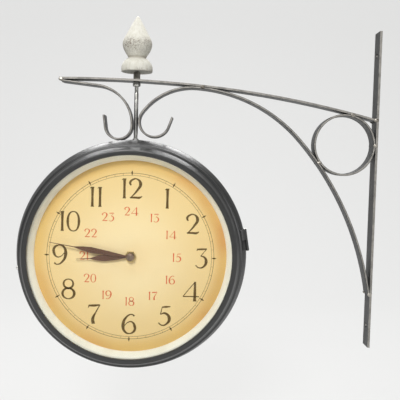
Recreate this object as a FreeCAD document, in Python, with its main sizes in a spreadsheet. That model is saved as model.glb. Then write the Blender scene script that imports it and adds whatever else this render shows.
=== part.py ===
import FreeCAD, Part
import math
import os
import Sketcher
from types import SimpleNamespace

# Double sided station clock on a scroll wall bracket, in millimetres.
# The origin is on the back face of the wall plate, midway between its two screw holes.
# +Z is up, the bracket reaches out along -X and the front dial faces -Y.

SIZES = {
    # bracket: flat steel strips that stand on edge
    "strip_width": 17.0,
    "strip_thickness": 2.2,
    "plate_thickness": 2.5,
    "plate_above_hole": 24.5,
    "plate_below_hole": 22.5,
    "screw_spacing": 290.0,
    "screw_hole_radius": 2.5,
    # arm, from the wall plate to its free tip
    "arm_wall_height": 76.0,
    "arm_wall_angle": 14.5,
    "arm_inner_radius": 1090.0,
    "arm_inner_angle": 9.0,
    "arm_outer_radius": 1330.0,
    "arm_outer_angle": 7.2,
    # ring in the corner, and the strip that is both brace and right scroll
    "ring_radius": 31.6,
    "contact_gap": 0.05,
    "brace_shoulder_radius": 160.0,
    "brace_leg_radius": 320.0,
    "right_lead_radius": 206.0,
    "right_lead_angle": 1.53,
    "right_sweep_radius": 66.0,
    "right_sweep_angle": 57.7,
    "right_curl_radius": 16.0,
    "right_curl_angle": 195.4,
    "right_tail": 11.5,
    "left_start_angle": 7.6,
    "left_sweep_radius": 40.5,
    "left_sweep_angle": 87.0,
    "left_curl_radius": 14.0,
    "left_curl_angle": 170.0,
    "left_tail": 13.0,
    "scroll_rod_gap": 0.5,
    "weld_radius": 1.9,
    "weld_height": 0.5,
    # hanging rod, its nuts and the finial
    "stem_reach": 257.0,
    "rod_radius": 2.2,
    "rod_hole_play": 0.08,
    "thread_play": 0.03,
    "upper_nut_flats": 6.2,
    "upper_nut_height": 8.0,
    "lower_nut_flats": 7.0,
    "lower_nut_height": 4.5,
    "case_nut_flats": 5.5,
    "case_nut_height": 2.4,
    "washer_radius": 4.2,
    "washer_thickness": 0.8,
    "nut_seat_play": 0.15,
    "rod_end_below_nut": 3.0,
    "finial_height": 58.5,
    "finial_base_radius": 16.6,
    "finial_base_edge": 5.4,
    "finial_neck_radius": 9.2,
    "finial_neck_height": 14.9,
    "finial_bulb_radius": 15.8,
    "finial_bulb_height": 29.2,
    "finial_tip_radius": 1.3,
    "finial_bore_depth": 14.0,
    # case band: depths are measured from the front face of the door
    "clock_height": -71.5,
    "case_half_depth": 42.5,
    "band_radius": 118.8,
    "rim_height": 1.2,
    "rim_width": 4.0,
    "shoulder_depth": 7.2,
    "band_wall": 2.2,
    "mouth_lip": 3.0,
    "seam_gap": 0.5,
    # door: bezel, glass, cream surround and dial
    "door_depth": 16.5,
    "door_set_in": 3.6,
    "skirt_wall": 2.0,
    "skirt_height": 5.5,
    "moulding_step": 3.2,
    "front_wall": 2.5,
    "bezel_seat_step": 7.5,
    "bezel_seat_wall": 1.1,
    "bezel_seat_depth": 9.5,
    "glass_rebate": 4.2,
    "fit_play": 0.1,
    "glass_thickness": 2.4,
    "glass_edge_play": 0.6,
    "surround_lip": 0.2,
    "surround_slope_width": 4.8,
    "dial_depth": 12.8,
    "dial_edge_play": 1.7,
    "dial_thickness": 1.0,
    "throat_land": 0.6,
    # hinge on the right and closing screw on the left
    "hinge_angle": 9.5,
    "hinge_stand_off": 0.4,
    "hinge_half_length": 11.0,
    "knuckle_radius": 1.6,
    "knuckle_gap": 0.1,
    "pin_radius": 0.8,
    "pin_play": 0.05,
    "pin_head_radius": 1.6,
    "pin_head_height": 0.7,
    "leaf_seat_play": 0.12,
    "latch_angle": 7.0,
    "latch_depth": 14.0,
    "latch_head_radius": 1.8,
    "latch_head_height": 2.3,
    "latch_shank_radius": 1.2,
    "latch_play": 0.06,
    "latch_seat_play": 0.2,
    "notch_play": 0.3,
    "tongue_width": 8.0,
    "tongue_thickness": 2.6,
    "tongue_play": 0.35,
    # battery movement behind each dial
    "movement_side": 56.0,
    "movement_depth": 14.8,
    "movement_wall": 1.2,
    "cover_thickness": 1.2,
    "bushing_radius": 3.95,
    "bushing_length": 3.4,
    "shaft_nut_flats": 10.6,
    "shaft_nut_height": 2.0,
    "battery_radius": 7.0,
    "battery_length": 49.5,
    "battery_nub_radius": 2.7,
    "battery_nub_length": 1.0,
    "battery_drop": 19.4,
    "battery_play": 0.3,
    "contact_thickness": 0.5,
    "contact_side": 9.0,
    "board_width": 26.0,
    "board_height": 14.0,
    "board_thickness": 1.0,
    "board_base": 12.2,
    "coil_length": 18.0,
    "coil_radius": 3.4,
    "coil_flange_radius": 4.2,
    "coil_flange_width": 1.0,
    # motion work: 12 to 36 teeth, then 10 to 40 teeth
    "minute_radius": 1.5,
    "hour_tube_radius": 2.5,
    "running_play": 0.05,
    "slow_module": 0.5,
    "pinion_teeth": 12,
    "wheel_teeth": 36,
    "hour_pinion_teeth": 10,
    "hour_wheel_teeth": 40,
    "gear_thickness": 1.0,
    "hour_gear_front": 0.5,
    "gear_spacing": 1.1,
    "pinion_overlap": 0.3,
    "centre_wheel_teeth": 50,
    "centre_wheel_module": 0.3,
    "stud_radius": 0.9,
    "stud_length": 1.2,
    "pivot_radius": 1.0,
    "knob_radius": 4.2,
    "knob_height": 4.0,
    "knob_gap": 0.3,
    # hands
    "hour_angle": 266.5,
    "minute_angle": 279.3,
    "hand_thickness": 0.6,
    "hand_boss_radius": 3.9,
    "hour_hand_length": 55.2,
    "hour_leaf_start": 41.0,
    "hour_leaf_middle": 26.0,
    "hour_leaf_half_width": 3.4,
    "hour_hand_gap": 0.6,
    "minute_hand_length": 83.4,
    "minute_leaf_start": 58.0,
    "minute_leaf_middle": 40.0,
    "minute_leaf_half_width": 3.0,
    "minute_hand_gap": 1.0,
    "needle_half_width": 0.45,
    "tip_half_width": 0.25,
    "neck_half_width": 0.9,
    "cap_radius": 4.2,
    "cap_height": 1.5,
    "cap_bore_depth": 0.5,
}

GEAR_PRESSURE_ANGLE = math.radians(25)
GEAR_ADDENDUM = 0.75
GEAR_DEDENDUM = 1.1
GEAR_TOOTH_SHARE = 0.86
FLANK_STEPS = 4


class Size:
    """A length that keeps the formula of the cells that it was worked out from."""

    def __init__(self, value, formula):
        self.value = float(value)
        self.formula = formula

    def __add__(self, other):
        return Size(self.value + number(other), f"({self.formula} + {formula(other)})")

    def __sub__(self, other):
        return Size(self.value - number(other), f"({self.formula} - {formula(other)})")

    def __rsub__(self, other):
        return Size(number(other) - self.value, f"({formula(other)} - {self.formula})")

    def __mul__(self, other):
        return Size(self.value * number(other), f"({self.formula} * {formula(other)})")

    def __truediv__(self, other):
        return Size(self.value / number(other), f"({self.formula} / {formula(other)})")

    def __neg__(self):
        return Size(-self.value, f"(0 - {self.formula})")

    __radd__ = __add__
    __rmul__ = __mul__


def number(item):
    return item.value if isinstance(item, Size) else float(item)


def formula(item):
    return item.formula if isinstance(item, Size) else repr(float(item))


def bind(thing, prop, size):
    """Bind a property to its formula, if it has one, and set it otherwise."""
    if isinstance(size, Size):
        thing.setExpression(prop, size.formula)
    else:
        setattr(thing, prop, size)


doc = FreeCAD.newDocument("station_clock")
nodes = []


def make_sheet():
    sheet = doc.addObject("Spreadsheet::Sheet", "sizes")
    for row, (alias, value) in enumerate(SIZES.items(), start=1):
        sheet.set(f"A{row}", alias)
        sheet.set(f"B{row}", str(value))
        sheet.setAlias(f"B{row}", alias)
    doc.recompute()
    cells = {alias: Size(getattr(sheet, alias), f"<<sizes>>.{alias}") for alias in SIZES}
    return SimpleNamespace(**cells)


s = make_sheet()
s.rim_radius = s.band_radius + s.rim_height
s.skirt_radius = s.band_radius - s.door_set_in
s.hinge_radius = s.rim_radius + s.hinge_stand_off
s.moulding_radius = s.skirt_radius - s.moulding_step
s.bezel_seat_radius = s.skirt_radius - s.bezel_seat_step
s.front_radius = s.bezel_seat_radius + s.bezel_seat_wall
s.opening_radius = s.bezel_seat_radius - s.glass_rebate
s.surround_mouth_radius = s.opening_radius - s.surround_lip
s.throat_radius = s.surround_mouth_radius - s.surround_slope_width
s.dial_radius = s.bezel_seat_radius - s.dial_edge_play


# ---- helpers that draw and build -------------------------------------------------------

def new_body(label):
    body = doc.addObject("PartDesign::Body", label)
    body.Label = label
    return body


def new_sketch(body, role, offset=0.0):
    """A sketch on one of the body's own planes, moved along that plane's normal."""
    sketch = body.newObject("Sketcher::SketchObject", body.Name + "_sketch")
    plane = next(item for item in body.Origin.OriginFeatures if item.Role == role)
    sketch.AttachmentSupport = [(plane, "")]
    sketch.MapMode = "FlatFace"
    sketch.AttachmentOffset = FreeCAD.Placement(
        FreeCAD.Vector(0, 0, number(offset)), FreeCAD.Rotation())
    if isinstance(offset, Size):
        sketch.setExpression("AttachmentOffset.Base.z", offset.formula)
    return sketch


def pin_point(sketch, edge, corner, point):
    """Hold a sketch point at two sizes measured from the sketch's origin."""
    for kind, size in (("DistanceX", point[0]), ("DistanceY", point[1])):
        index = sketch.addConstraint(
            Sketcher.Constraint(kind, -1, 1, edge, corner, number(size)))
        if isinstance(size, Size):
            sketch.setExpression(f"Constraints[{index}]", size.formula)


def draw_outline(sketch, points):
    """A closed outline of straight lines with every corner bound to its sizes."""
    first = sketch.GeometryCount
    count = len(points)
    for index in range(count):
        start = points[index]
        end = points[(index + 1) % count]
        sketch.addGeometry(Part.LineSegment(
            FreeCAD.Vector(number(start[0]), number(start[1]), 0),
            FreeCAD.Vector(number(end[0]), number(end[1]), 0)))
    for index in range(count):
        sketch.addConstraint(Sketcher.Constraint(
            "Coincident", first + index, 2, first + (index + 1) % count, 1))
        pin_point(sketch, first + index, 1, points[index])


def draw_circle(sketch, centre, radius):
    edge = sketch.addGeometry(Part.Circle(
        FreeCAD.Vector(number(centre[0]), number(centre[1]), 0),
        FreeCAD.Vector(0, 0, 1), number(radius)))
    index = sketch.addConstraint(Sketcher.Constraint("Radius", edge, number(radius)))
    if isinstance(radius, Size):
        sketch.setExpression(f"Constraints[{index}]", radius.formula)
    pin_point(sketch, edge, 3, centre)


def rectangle(left, right, low, high):
    return [(left, low), (right, low), (right, high), (left, high)]


def hexagon(flats):
    """Corners of a hexagon, given its size across flats."""
    corner = flats / math.sqrt(3)
    return [(corner * math.cos(math.radians(60 * k)), corner * math.sin(math.radians(60 * k)))
            for k in range(6)]


def pad(body, sketch, length, both_sides=False):
    feature = body.newObject("PartDesign::Pad", body.Name + "_pad")
    feature.Profile = sketch
    if both_sides:
        feature.Midplane = True
    bind(feature, "Length", length)
    return feature


def pocket(body, sketch, length, through_both=False):
    feature = body.newObject("PartDesign::Pocket", body.Name + "_pocket")
    feature.Profile = sketch
    if through_both:
        feature.Midplane = True
    bind(feature, "Length", length)
    return feature


def revolve(body, sketch, axis="V_Axis"):
    feature = body.newObject("PartDesign::Revolution", body.Name + "_turned")
    feature.Profile = sketch
    feature.ReferenceAxis = (sketch, [axis])
    feature.Angle = 360
    return feature


def keep(piece, placement=None):
    """Put a finished piece at its place and list it for export."""
    if placement is not None:
        piece.Placement = placement
    nodes.append(piece)
    return piece


def turned(label, outline, role="XY_Plane", axis="V_Axis"):
    body = new_body(label)
    sketch = new_sketch(body, role)
    draw_outline(sketch, outline)
    revolve(body, sketch, axis)
    return body


def moved(x, y, z):
    return FreeCAD.Placement(FreeCAD.Vector(number(x), number(y), number(z)), FreeCAD.Rotation())


def turned_about_y(angle):
    return FreeCAD.Placement(
        FreeCAD.Vector(), FreeCAD.Rotation(FreeCAD.Vector(0, 1, 0), -number(angle)))


# ---- bent strips -----------------------------------------------------------------------
# A strip's centre line is a list of stations: (x, z, heading in radians). Each bend is a
# radius with a turn in degrees, to the left if it is positive. A straight run is a length
# with no turn.

def advance(station, length, turn):
    """The station at the end of a straight run, or of an arc of that radius and turn."""
    x, z, heading = station
    if turn == 0:
        return (x + length * math.cos(heading), z + length * math.sin(heading), heading)
    side = math.copysign(1, turn)
    centre_x = x - side * length * math.sin(heading)
    centre_z = z + side * length * math.cos(heading)
    heading = heading + math.radians(turn)
    return (centre_x + side * length * math.sin(heading),
            centre_z - side * length * math.cos(heading), heading)


def follow(station, bends):
    """The stations at the start, the middle and the end of every bend in turn."""
    route = [station]
    for length, turn in bends:
        middle = advance(route[-1], length if turn else length / 2, turn / 2)
        end = advance(route[-1], length, turn)
        route += [middle, end]
    return route


def backwards(route):
    return [(x, z, heading + math.pi) for x, z, heading in reversed(route)]


def beside(station, offset):
    """A point at this distance to the left of a station."""
    x, z, heading = station
    return FreeCAD.Vector(x - offset * math.sin(heading), z + offset * math.cos(heading), 0)


def bend_edge(start, middle, end, offset):
    first, halfway, last = (beside(item, offset) for item in (start, middle, end))
    if abs(start[2] - end[2]) < 1e-9:
        return Part.LineSegment(first, last)
    return Part.Arc(first, halfway, last)


def draw_strip(sketch, route, thickness):
    """The closed outline of a strip that is bent along this route."""
    half = thickness / 2
    for k in range(0, len(route) - 1, 2):
        sketch.addGeometry(bend_edge(route[k], route[k + 1], route[k + 2], half))
        sketch.addGeometry(bend_edge(route[k], route[k + 1], route[k + 2], -half))
    for station in (route[0], route[-1]):
        sketch.addGeometry(Part.LineSegment(beside(station, half), beside(station, -half)))


def strip_body(label, route):
    body = new_body(label)
    sketch = new_sketch(body, "XZ_Plane")
    draw_strip(sketch, route, s.strip_thickness.value)
    pad(body, sketch, s.strip_width, both_sides=True)
    return body


def trim_at_plate(body):
    """Cut away what reaches past the front face of the wall plate."""
    sketch = new_sketch(body, "XZ_Plane")
    reach = s.ring_radius
    draw_outline(sketch, rectangle(-s.plate_thickness, reach, -reach * 6, reach * 6))
    pocket(body, sketch, s.strip_width * 2, through_both=True)


def solve(function, low, high):
    """The root of a rising or falling function between two limits, by halving."""
    rising = function(high) > function(low)
    for _ in range(60):
        middle = (low + high) / 2
        if (function(middle) > 0) == rising:
            high = middle
        else:
            low = middle
    return (low + high) / 2


def arm_bends():
    return [(s.arm_inner_radius.value, s.arm_inner_angle.value),
            (s.arm_outer_radius.value, s.arm_outer_angle.value)]


def arm_start():
    """The arm starts a little inside the wall plate and is trimmed at its face."""
    slope = math.radians(s.arm_wall_angle.value)
    return (-s.plate_thickness.value + s.strip_thickness.value * math.sin(slope),
            s.arm_wall_height.value, math.pi - slope)


def arm_station(distance):
    """The station on the arm's centre line at this distance from the wall."""
    station = arm_start()
    for radius, turn in arm_bends():
        length = radius * math.radians(turn)
        if distance <= length:
            return advance(station, radius, math.degrees(distance / radius))
        station = advance(station, radius, turn)
        distance -= length
    return advance(station, distance, 0)


def arm_at_stem():
    """The station where the hanging rod passes through the arm."""
    def short(distance):
        return arm_station(distance)[0] + s.stem_reach.value

    return arm_station(solve(short, s.ring_radius.value, arm_length()))


def arm_length():
    return sum(radius * math.radians(turn) for radius, turn in arm_bends())


def ring_centre():
    """The ring's centre, where it touches the wall plate and the arm."""
    x, z, heading = arm_start()
    arm_radius = s.arm_inner_radius.value
    arc_x = x - arm_radius * math.sin(heading)
    arc_z = z + arm_radius * math.cos(heading)
    touching = s.strip_thickness.value + s.contact_gap.value
    outer = s.ring_radius.value + s.strip_thickness.value / 2
    centre_x = -s.plate_thickness.value - outer - s.contact_gap.value
    reach = arm_radius - s.ring_radius.value - touching
    return centre_x, arc_z + math.sqrt(reach ** 2 - (centre_x - arc_x) ** 2)


def scroll_clearance():
    """Distance from the rod's axis to the centre line of the scroll beside it."""
    return (s.rod_radius + s.scroll_rod_gap + s.strip_thickness / 2).value


def under_arm(distance):
    """The station of a strip that lies against the arm's underside."""
    station = arm_station(distance)
    point = beside(station, s.strip_thickness.value + s.contact_gap.value)
    return (point.x, point.y, station[2])


def right_scroll_bends():
    return [
        (s.right_lead_radius.value, s.right_lead_angle.value),
        (s.right_sweep_radius.value, s.right_sweep_angle.value),
        (s.right_curl_radius.value, s.right_curl_angle.value),
        (s.right_tail.value, 0)]


def brace_joint():
    """Where the brace and the right scroll begin, so that the scroll clears the rod."""
    lead, sweep, curl, tail = right_scroll_bends()
    edge = scroll_clearance() - s.stem_reach.value

    def miss(distance):
        knee = advance(advance(under_arm(distance), *lead), *sweep)
        return beside(knee, curl[0]).x - curl[0] - edge

    return under_arm(solve(miss, s.ring_radius.value, arm_length()))


def brace_route():
    """From the joint to the wall plate: a shoulder, then a leg that touches the ring."""
    joint = brace_joint()
    start = (joint[0], joint[1], joint[2] - math.pi)
    shoulder = s.brace_shoulder_radius.value
    leg = s.brace_leg_radius.value
    ring_x, ring_z = ring_centre()
    clear = leg + s.ring_radius.value + s.strip_thickness.value + s.contact_gap.value

    def leg_centre(turn):
        return beside(advance(start, shoulder, -turn), -leg)

    def miss(turn):
        centre = leg_centre(turn)
        return math.hypot(centre.x - ring_x, centre.y - ring_z) - clear

    shoulder_turn = solve(miss, 30, 60)
    knee = advance(start, shoulder, -shoulder_turn)
    foot_x = -s.plate_thickness.value - s.strip_thickness.value * 0.3
    upright = 90 + math.degrees(knee[2])
    leg_turn = solve(lambda turn: advance(knee, leg, -turn)[0] - foot_x, 1, upright)
    return follow(start, [(shoulder, -shoulder_turn), (leg, -leg_turn)])


def left_scroll_route():
    """A straight run from under the arm's tip, then a sweep that clears the rod."""
    tip = under_arm(arm_length() - s.strip_thickness.value)
    heading = tip[2] - math.pi - math.radians(s.left_start_angle.value)
    start = (tip[0], tip[1], heading)
    sweep = s.left_sweep_radius.value
    edge = -s.stem_reach.value - scroll_clearance()
    run = (edge - sweep - beside(start, -sweep).x) / math.cos(heading)
    return follow(start, [
        (run, 0),
        (sweep, -s.left_sweep_angle.value),
        (s.left_curl_radius.value, -s.left_curl_angle.value),
        (s.left_tail.value, 0)])


# ---- bracket ---------------------------------------------------------------------------

def make_wall_plate():
    body = new_body("wall_plate")
    top = s.screw_spacing / 2 + s.plate_above_hole
    foot = -(s.screw_spacing / 2 + s.plate_below_hole)
    outline = new_sketch(body, "YZ_Plane", -s.plate_thickness)
    draw_outline(outline, rectangle(-s.strip_width / 2, s.strip_width / 2, foot, top))
    pad(body, outline, s.plate_thickness)
    holes = new_sketch(body, "YZ_Plane")
    draw_circle(holes, (0.0, s.screw_spacing / 2), s.screw_hole_radius)
    draw_circle(holes, (0.0, -s.screw_spacing / 2), s.screw_hole_radius)
    pocket(body, holes, s.plate_thickness * 3, through_both=True)
    keep(body)


def make_arm_strip():
    body = strip_body("arm_strip", follow(arm_start(), arm_bends()))
    trim_at_plate(body)
    hole = new_sketch(body, "XY_Plane")
    draw_circle(hole, (-s.stem_reach, 0.0), s.rod_radius + s.rod_hole_play)
    pocket(body, hole, s.screw_spacing * 2, through_both=True)
    keep(body)


def make_brace_strip():
    scroll = follow(brace_joint(), right_scroll_bends())
    route = backwards(brace_route()) + scroll[1:]
    body = strip_body("brace_and_right_scroll", route)
    trim_at_plate(body)
    keep(body)


def make_left_scroll():
    keep(strip_body("left_scroll", left_scroll_route()))


def make_ring_strip():
    body = new_body("ring_strip")
    centre = ring_centre()
    sketch = new_sketch(body, "XZ_Plane")
    draw_circle(sketch, centre, s.ring_radius + s.strip_thickness / 2)
    draw_circle(sketch, centre, s.ring_radius - s.strip_thickness / 2)
    pad(body, sketch, s.strip_width, both_sides=True)
    keep(body)


def weld_points():
    """Where two strips meet: midway between their centre lines."""
    half = s.strip_thickness.value / 2
    ring_x, ring_z = ring_centre()
    touch = s.ring_radius.value + half
    arm_x, arm_z, arm_heading = arm_start()
    arc_x = arm_x - s.arm_inner_radius.value * math.sin(arm_heading)
    arc_z = arm_z + s.arm_inner_radius.value * math.cos(arm_heading)
    toward_arm = math.atan2(ring_z - arc_z, ring_x - arc_x)
    route = brace_route()
    leg_centre = beside(route[2], -s.brace_leg_radius.value)
    toward_leg = math.atan2(leg_centre.y - ring_z, leg_centre.x - ring_x)
    tip = beside(arm_station(arm_length() - 2 * half), half)
    joint = beside(brace_joint(), -half)
    face = -s.plate_thickness.value
    return [
        (tip.x, tip.y),
        (joint.x, joint.y),
        (ring_x + touch * math.cos(toward_arm), ring_z + touch * math.sin(toward_arm)),
        (ring_x + touch * math.cos(toward_leg), ring_z + touch * math.sin(toward_leg)),
        (face, ring_z),
        (face, s.arm_wall_height.value),
        (face, route[-1][1]),
    ]


def make_welds():
    """Weld buttons on both edges of the strips, at each place where two strips meet."""
    buttons = []
    edge = s.strip_width.value / 2
    for x, z in weld_points():
        for side in (-1, 1):
            buttons.append(Part.makeCylinder(
                s.weld_radius.value, s.weld_height.value,
                FreeCAD.Vector(x, side * edge, z), FreeCAD.Vector(0, side, 0)))
    feature = doc.addObject("Part::Feature", "bracket_welds")
    feature.Shape = Part.makeCompound(buttons)
    keep(feature)


# ---- hanging rod, nuts and finial ------------------------------------------------------

def hex_nut(label, flats, height, bottom, bore):
    body = new_body(label)
    sketch = new_sketch(body, "XY_Plane", bottom)
    draw_outline(sketch, hexagon(flats))
    draw_circle(sketch, (0.0, 0.0), bore)
    pad(body, sketch, height)
    return body


def washer(label, bottom):
    body = new_body(label)
    sketch = new_sketch(body, "XY_Plane", bottom)
    draw_circle(sketch, (0.0, 0.0), s.washer_radius)
    draw_circle(sketch, (0.0, 0.0), s.rod_radius + s.rod_hole_play)
    pad(body, sketch, s.washer_thickness)
    return body


def group(label, bodies, placement):
    compound = doc.addObject("Part::Compound", label)
    compound.Links = bodies
    compound.Label = label
    return keep(compound, placement)


def stem_heights():
    """Heights along the rod, from the arm down to the inside of the case."""
    arm_z = arm_at_stem()[1]
    case_top = s.clock_height + s.band_radius
    inner_radius = (s.band_radius - s.band_wall).value
    sag = inner_radius - math.sqrt(inner_radius ** 2 - s.washer_radius.value ** 2)
    return SimpleNamespace(
        finial=arm_z + s.strip_thickness / 2 + s.nut_seat_play + s.upper_nut_height,
        upper_nut=arm_z + s.strip_thickness / 2 + s.nut_seat_play,
        lower_nut=arm_z - s.strip_thickness / 2 - s.nut_seat_play - s.lower_nut_height,
        outer_washer=case_top,
        outer_nut=case_top + s.washer_thickness,
        inner_washer=case_top - s.band_wall - sag - s.contact_gap - s.washer_thickness,
        inner_nut=(case_top - s.band_wall - sag - s.contact_gap - s.washer_thickness
                   - s.case_nut_height),
    )


def make_stem():
    at = stem_heights()
    stem = moved(-s.stem_reach, 0, 0)
    thread = s.rod_radius + s.thread_play
    top = at.finial + s.finial_bore_depth - s.contact_gap * 4
    foot = at.inner_nut - s.rod_end_below_nut
    rod = turned("hanging_rod", rectangle(0.0, s.rod_radius, foot, top), role="XZ_Plane")
    keep(rod, stem)
    keep(hex_nut("arm_upper_nut", s.upper_nut_flats, s.upper_nut_height, at.upper_nut, thread),
         stem)
    keep(hex_nut("arm_lower_nut", s.lower_nut_flats, s.lower_nut_height, at.lower_nut, thread),
         stem)
    group("case_nuts", [
        hex_nut("outer_case_nut", s.case_nut_flats, s.case_nut_height, at.outer_nut, thread),
        hex_nut("inner_case_nut", s.case_nut_flats, s.case_nut_height, at.inner_nut, thread),
    ], stem)
    group("case_washers", [
        washer("outer_case_washer", at.outer_washer),
        washer("inner_case_washer", at.inner_washer),
    ], stem)
    make_finial(at.finial, stem)


def make_finial(bottom, stem):
    """Turned finial: a flared foot, a sharp neck and a bulb that runs up to a point."""
    base = s.finial_base_radius.value
    neck = (s.finial_neck_radius.value, s.finial_neck_height.value)
    bulb = (s.finial_bulb_radius.value, s.finial_bulb_height.value)
    height = s.finial_height.value
    tip = s.finial_tip_radius.value
    edge = s.finial_base_edge.value
    bore = (s.rod_radius + s.thread_play).value
    depth = s.finial_bore_depth.value
    rise = bulb[1] - neck[1]
    drop = height - bulb[1]
    corners = {
        "bore_top": (0, depth), "bore_edge": (bore, depth), "bore_foot": (bore, 0),
        "foot": (base, 0), "edge": (base, edge), "neck": neck,
        "under": (neck[0] + (bulb[0] - neck[0]) * 0.66, neck[1] + rise * 0.52),
        "over": (bulb[0] * 0.865, bulb[1] + drop * 0.21),
        "shoulder": (tip, height - tip * 0.5), "point": (0, height),
    }
    flare = (neck[0] + (base - neck[0]) * 0.68, edge + (neck[1] - edge) * 0.55)
    waist = (bulb[0] * 0.494, bulb[1] + drop * 0.594)

    def at(point):
        return FreeCAD.Vector(point[0], point[1] + bottom.value, 0)

    def line(start, end):
        return Part.LineSegment(at(corners[start]), at(corners[end]))

    def arc(start, through, end):
        return Part.Arc(at(corners[start]), at(through), at(corners[end]))

    body = new_body("finial")
    sketch = new_sketch(body, "XZ_Plane")
    for edge_curve in (
            line("bore_top", "bore_edge"), line("bore_edge", "bore_foot"),
            line("bore_foot", "foot"), line("foot", "edge"),
            arc("edge", flare, "neck"), line("neck", "under"),
            arc("under", bulb, "over"), arc("over", waist, "shoulder"),
            line("shoulder", "point"), line("point", "bore_top")):
        sketch.addGeometry(edge_curve)
    revolve(body, sketch)
    keep(body, stem)


# ---- case ------------------------------------------------------------------------------

def y_at(depth):
    """The Y coordinate, in the clock's own frame, of a depth behind the front face."""
    return depth - s.case_half_depth


def clock_placement(side):
    """The clock's frame: its centre under the rod, turned half round for the rear side."""
    angle = 0 if side == "front" else 180
    return FreeCAD.Placement(
        FreeCAD.Vector(-s.stem_reach.value, 0, s.clock_height.value),
        FreeCAD.Rotation(FreeCAD.Vector(0, 0, 1), angle))


def band_half_outline():
    """Corners of the band's front half, outside and inside, from the seam to the middle."""
    seam = s.door_depth + s.seam_gap
    rim_start = seam + s.shoulder_depth
    rim_end = rim_start + s.rim_width
    wall = s.band_wall
    outside = [
        (s.skirt_radius, y_at(seam)),
        (s.rim_radius - s.fit_play * 4, y_at(rim_start)),
        (s.rim_radius, y_at(rim_start + s.fit_play * 8)),
        (s.rim_radius, y_at(rim_end)),
        (s.band_radius, y_at(rim_end + s.fit_play * 10)),
    ]
    inside = [
        (s.band_radius - wall, y_at(rim_end)),
        (s.skirt_radius - s.mouth_lip, y_at(seam + wall)),
        (s.skirt_radius - s.mouth_lip, y_at(seam)),
    ]
    return outside, inside


def mirrored(points):
    return [(radius, -y) for radius, y in reversed(points)]


def rotated(points, angle):
    """Points of the clock's face turned by this angle, anticlockwise from the right."""
    c = math.cos(math.radians(angle))
    si = math.sin(math.radians(angle))
    return [(number(x) * c - number(z) * si, number(x) * si + number(z) * c) for x, z in points]


def latch_direction():
    return 180 + s.latch_angle.value


def add_tongue(body, side):
    """The tongue that stands inside the door's skirt and takes the closing screw."""
    outer = s.skirt_radius - s.skirt_wall - s.tongue_play
    block = rectangle(outer - s.tongue_thickness, outer,
                      -s.tongue_width / 2, s.tongue_width / 2)
    corners = rotated(block, latch_direction())
    front = s.latch_depth - s.latch_shank_radius * 1.6
    back = s.door_depth + s.seam_gap + s.band_wall
    if side == "rear":
        corners = [(-x, z) for x, z in corners]
        sketch = new_sketch(body, "XZ_Plane", y_at(front))
    else:
        sketch = new_sketch(body, "XZ_Plane", -y_at(back))
    draw_outline(sketch, corners)
    pad(body, sketch, back - front)


def round_hole(label, radius, length, placement):
    """A cylinder that is cut out of another piece, along X of its placement."""
    cylinder = doc.addObject("Part::Cylinder", label)
    bind(cylinder, "Radius", radius)
    bind(cylinder, "Height", length)
    cylinder.Placement = placement.multiply(FreeCAD.Placement(
        FreeCAD.Vector(), FreeCAD.Rotation(FreeCAD.Vector(0, 1, 0), 90)))
    return cylinder


def cut(label, base, tools):
    """The base with all of the tools cut away, in the base's own frame."""
    compound = doc.addObject("Part::Compound", label + "_cuts")
    compound.Links = tools
    result = doc.addObject("Part::Cut", label)
    result.Base = base
    result.Tool = compound
    result.Label = label
    return result


def half_turn(side):
    return FreeCAD.Placement(
        FreeCAD.Vector(), FreeCAD.Rotation(FreeCAD.Vector(0, 0, 1), 0 if side == "front" else 180))


def latch_frame():
    """The closing screw's frame: X points out along the screw."""
    return turned_about_y(latch_direction()).multiply(moved(0, y_at(s.latch_depth), 0))


def make_case_band():
    outside, inside = band_half_outline()
    body = new_body("case_band_blank")
    sketch = new_sketch(body, "XY_Plane")
    outline = outside + mirrored(outside) + mirrored(inside) + inside
    draw_outline(sketch, outline)
    revolve(body, sketch)
    for side in ("front", "rear"):
        add_tongue(body, side)
    holes = [round_hole(f"{side}_screw_hole", s.latch_shank_radius + s.latch_play,
                        s.skirt_radius, half_turn(side).multiply(latch_frame()))
             for side in ("front", "rear")]
    rod_hole = doc.addObject("Part::Cylinder", "band_rod_hole")
    bind(rod_hole, "Radius", s.rod_radius + s.rod_hole_play)
    bind(rod_hole, "Height", s.rim_radius * 2)
    keep(cut("case_band", body, holes + [rod_hole]), clock_placement("front"))


# ---- one side of the clock -------------------------------------------------------------

def make_bezel(side, place):
    """Moulded door frame with a stepped face, notched for the closing screw."""
    skirt_start = s.door_depth - s.skirt_height
    outline = [
        (s.opening_radius, y_at(0.0)),
        (s.front_radius - 0.7, y_at(0.0)),
        (s.front_radius, y_at(0.7)),
        (s.front_radius + 0.8, y_at(s.front_wall)),
        (s.moulding_radius - 1.2, y_at(skirt_start - 5.5)),
        (s.moulding_radius, y_at(skirt_start - 3.6)),
        (s.moulding_radius + 0.2, y_at(skirt_start - 2.8)),
        (s.skirt_radius - 0.8, y_at(skirt_start - 2.0)),
        (s.skirt_radius, y_at(skirt_start - 0.8)),
        (s.skirt_radius, y_at(s.door_depth)),
        (s.skirt_radius - s.skirt_wall, y_at(s.door_depth)),
        (s.skirt_radius - s.skirt_wall, y_at(s.bezel_seat_depth)),
        (s.bezel_seat_radius, y_at(s.bezel_seat_depth)),
        (s.bezel_seat_radius, y_at(s.front_wall)),
        (s.opening_radius, y_at(s.front_wall)),
    ]
    blank = turned(f"{side}_bezel_blank", outline)
    notch = doc.addObject("Part::Box", f"{side}_notch")
    half = s.latch_shank_radius + s.notch_play
    bind(notch, "Length", s.skirt_wall * 3)
    bind(notch, "Width", s.door_depth)
    bind(notch, "Height", half * 2)
    corner = moved(s.skirt_radius - s.skirt_wall * 1.5, y_at(s.latch_depth) - half, -half)
    notch.Placement = turned_about_y(latch_direction()).multiply(corner)
    keep(cut(f"{side}_bezel", blank, [notch]), place)


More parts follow.
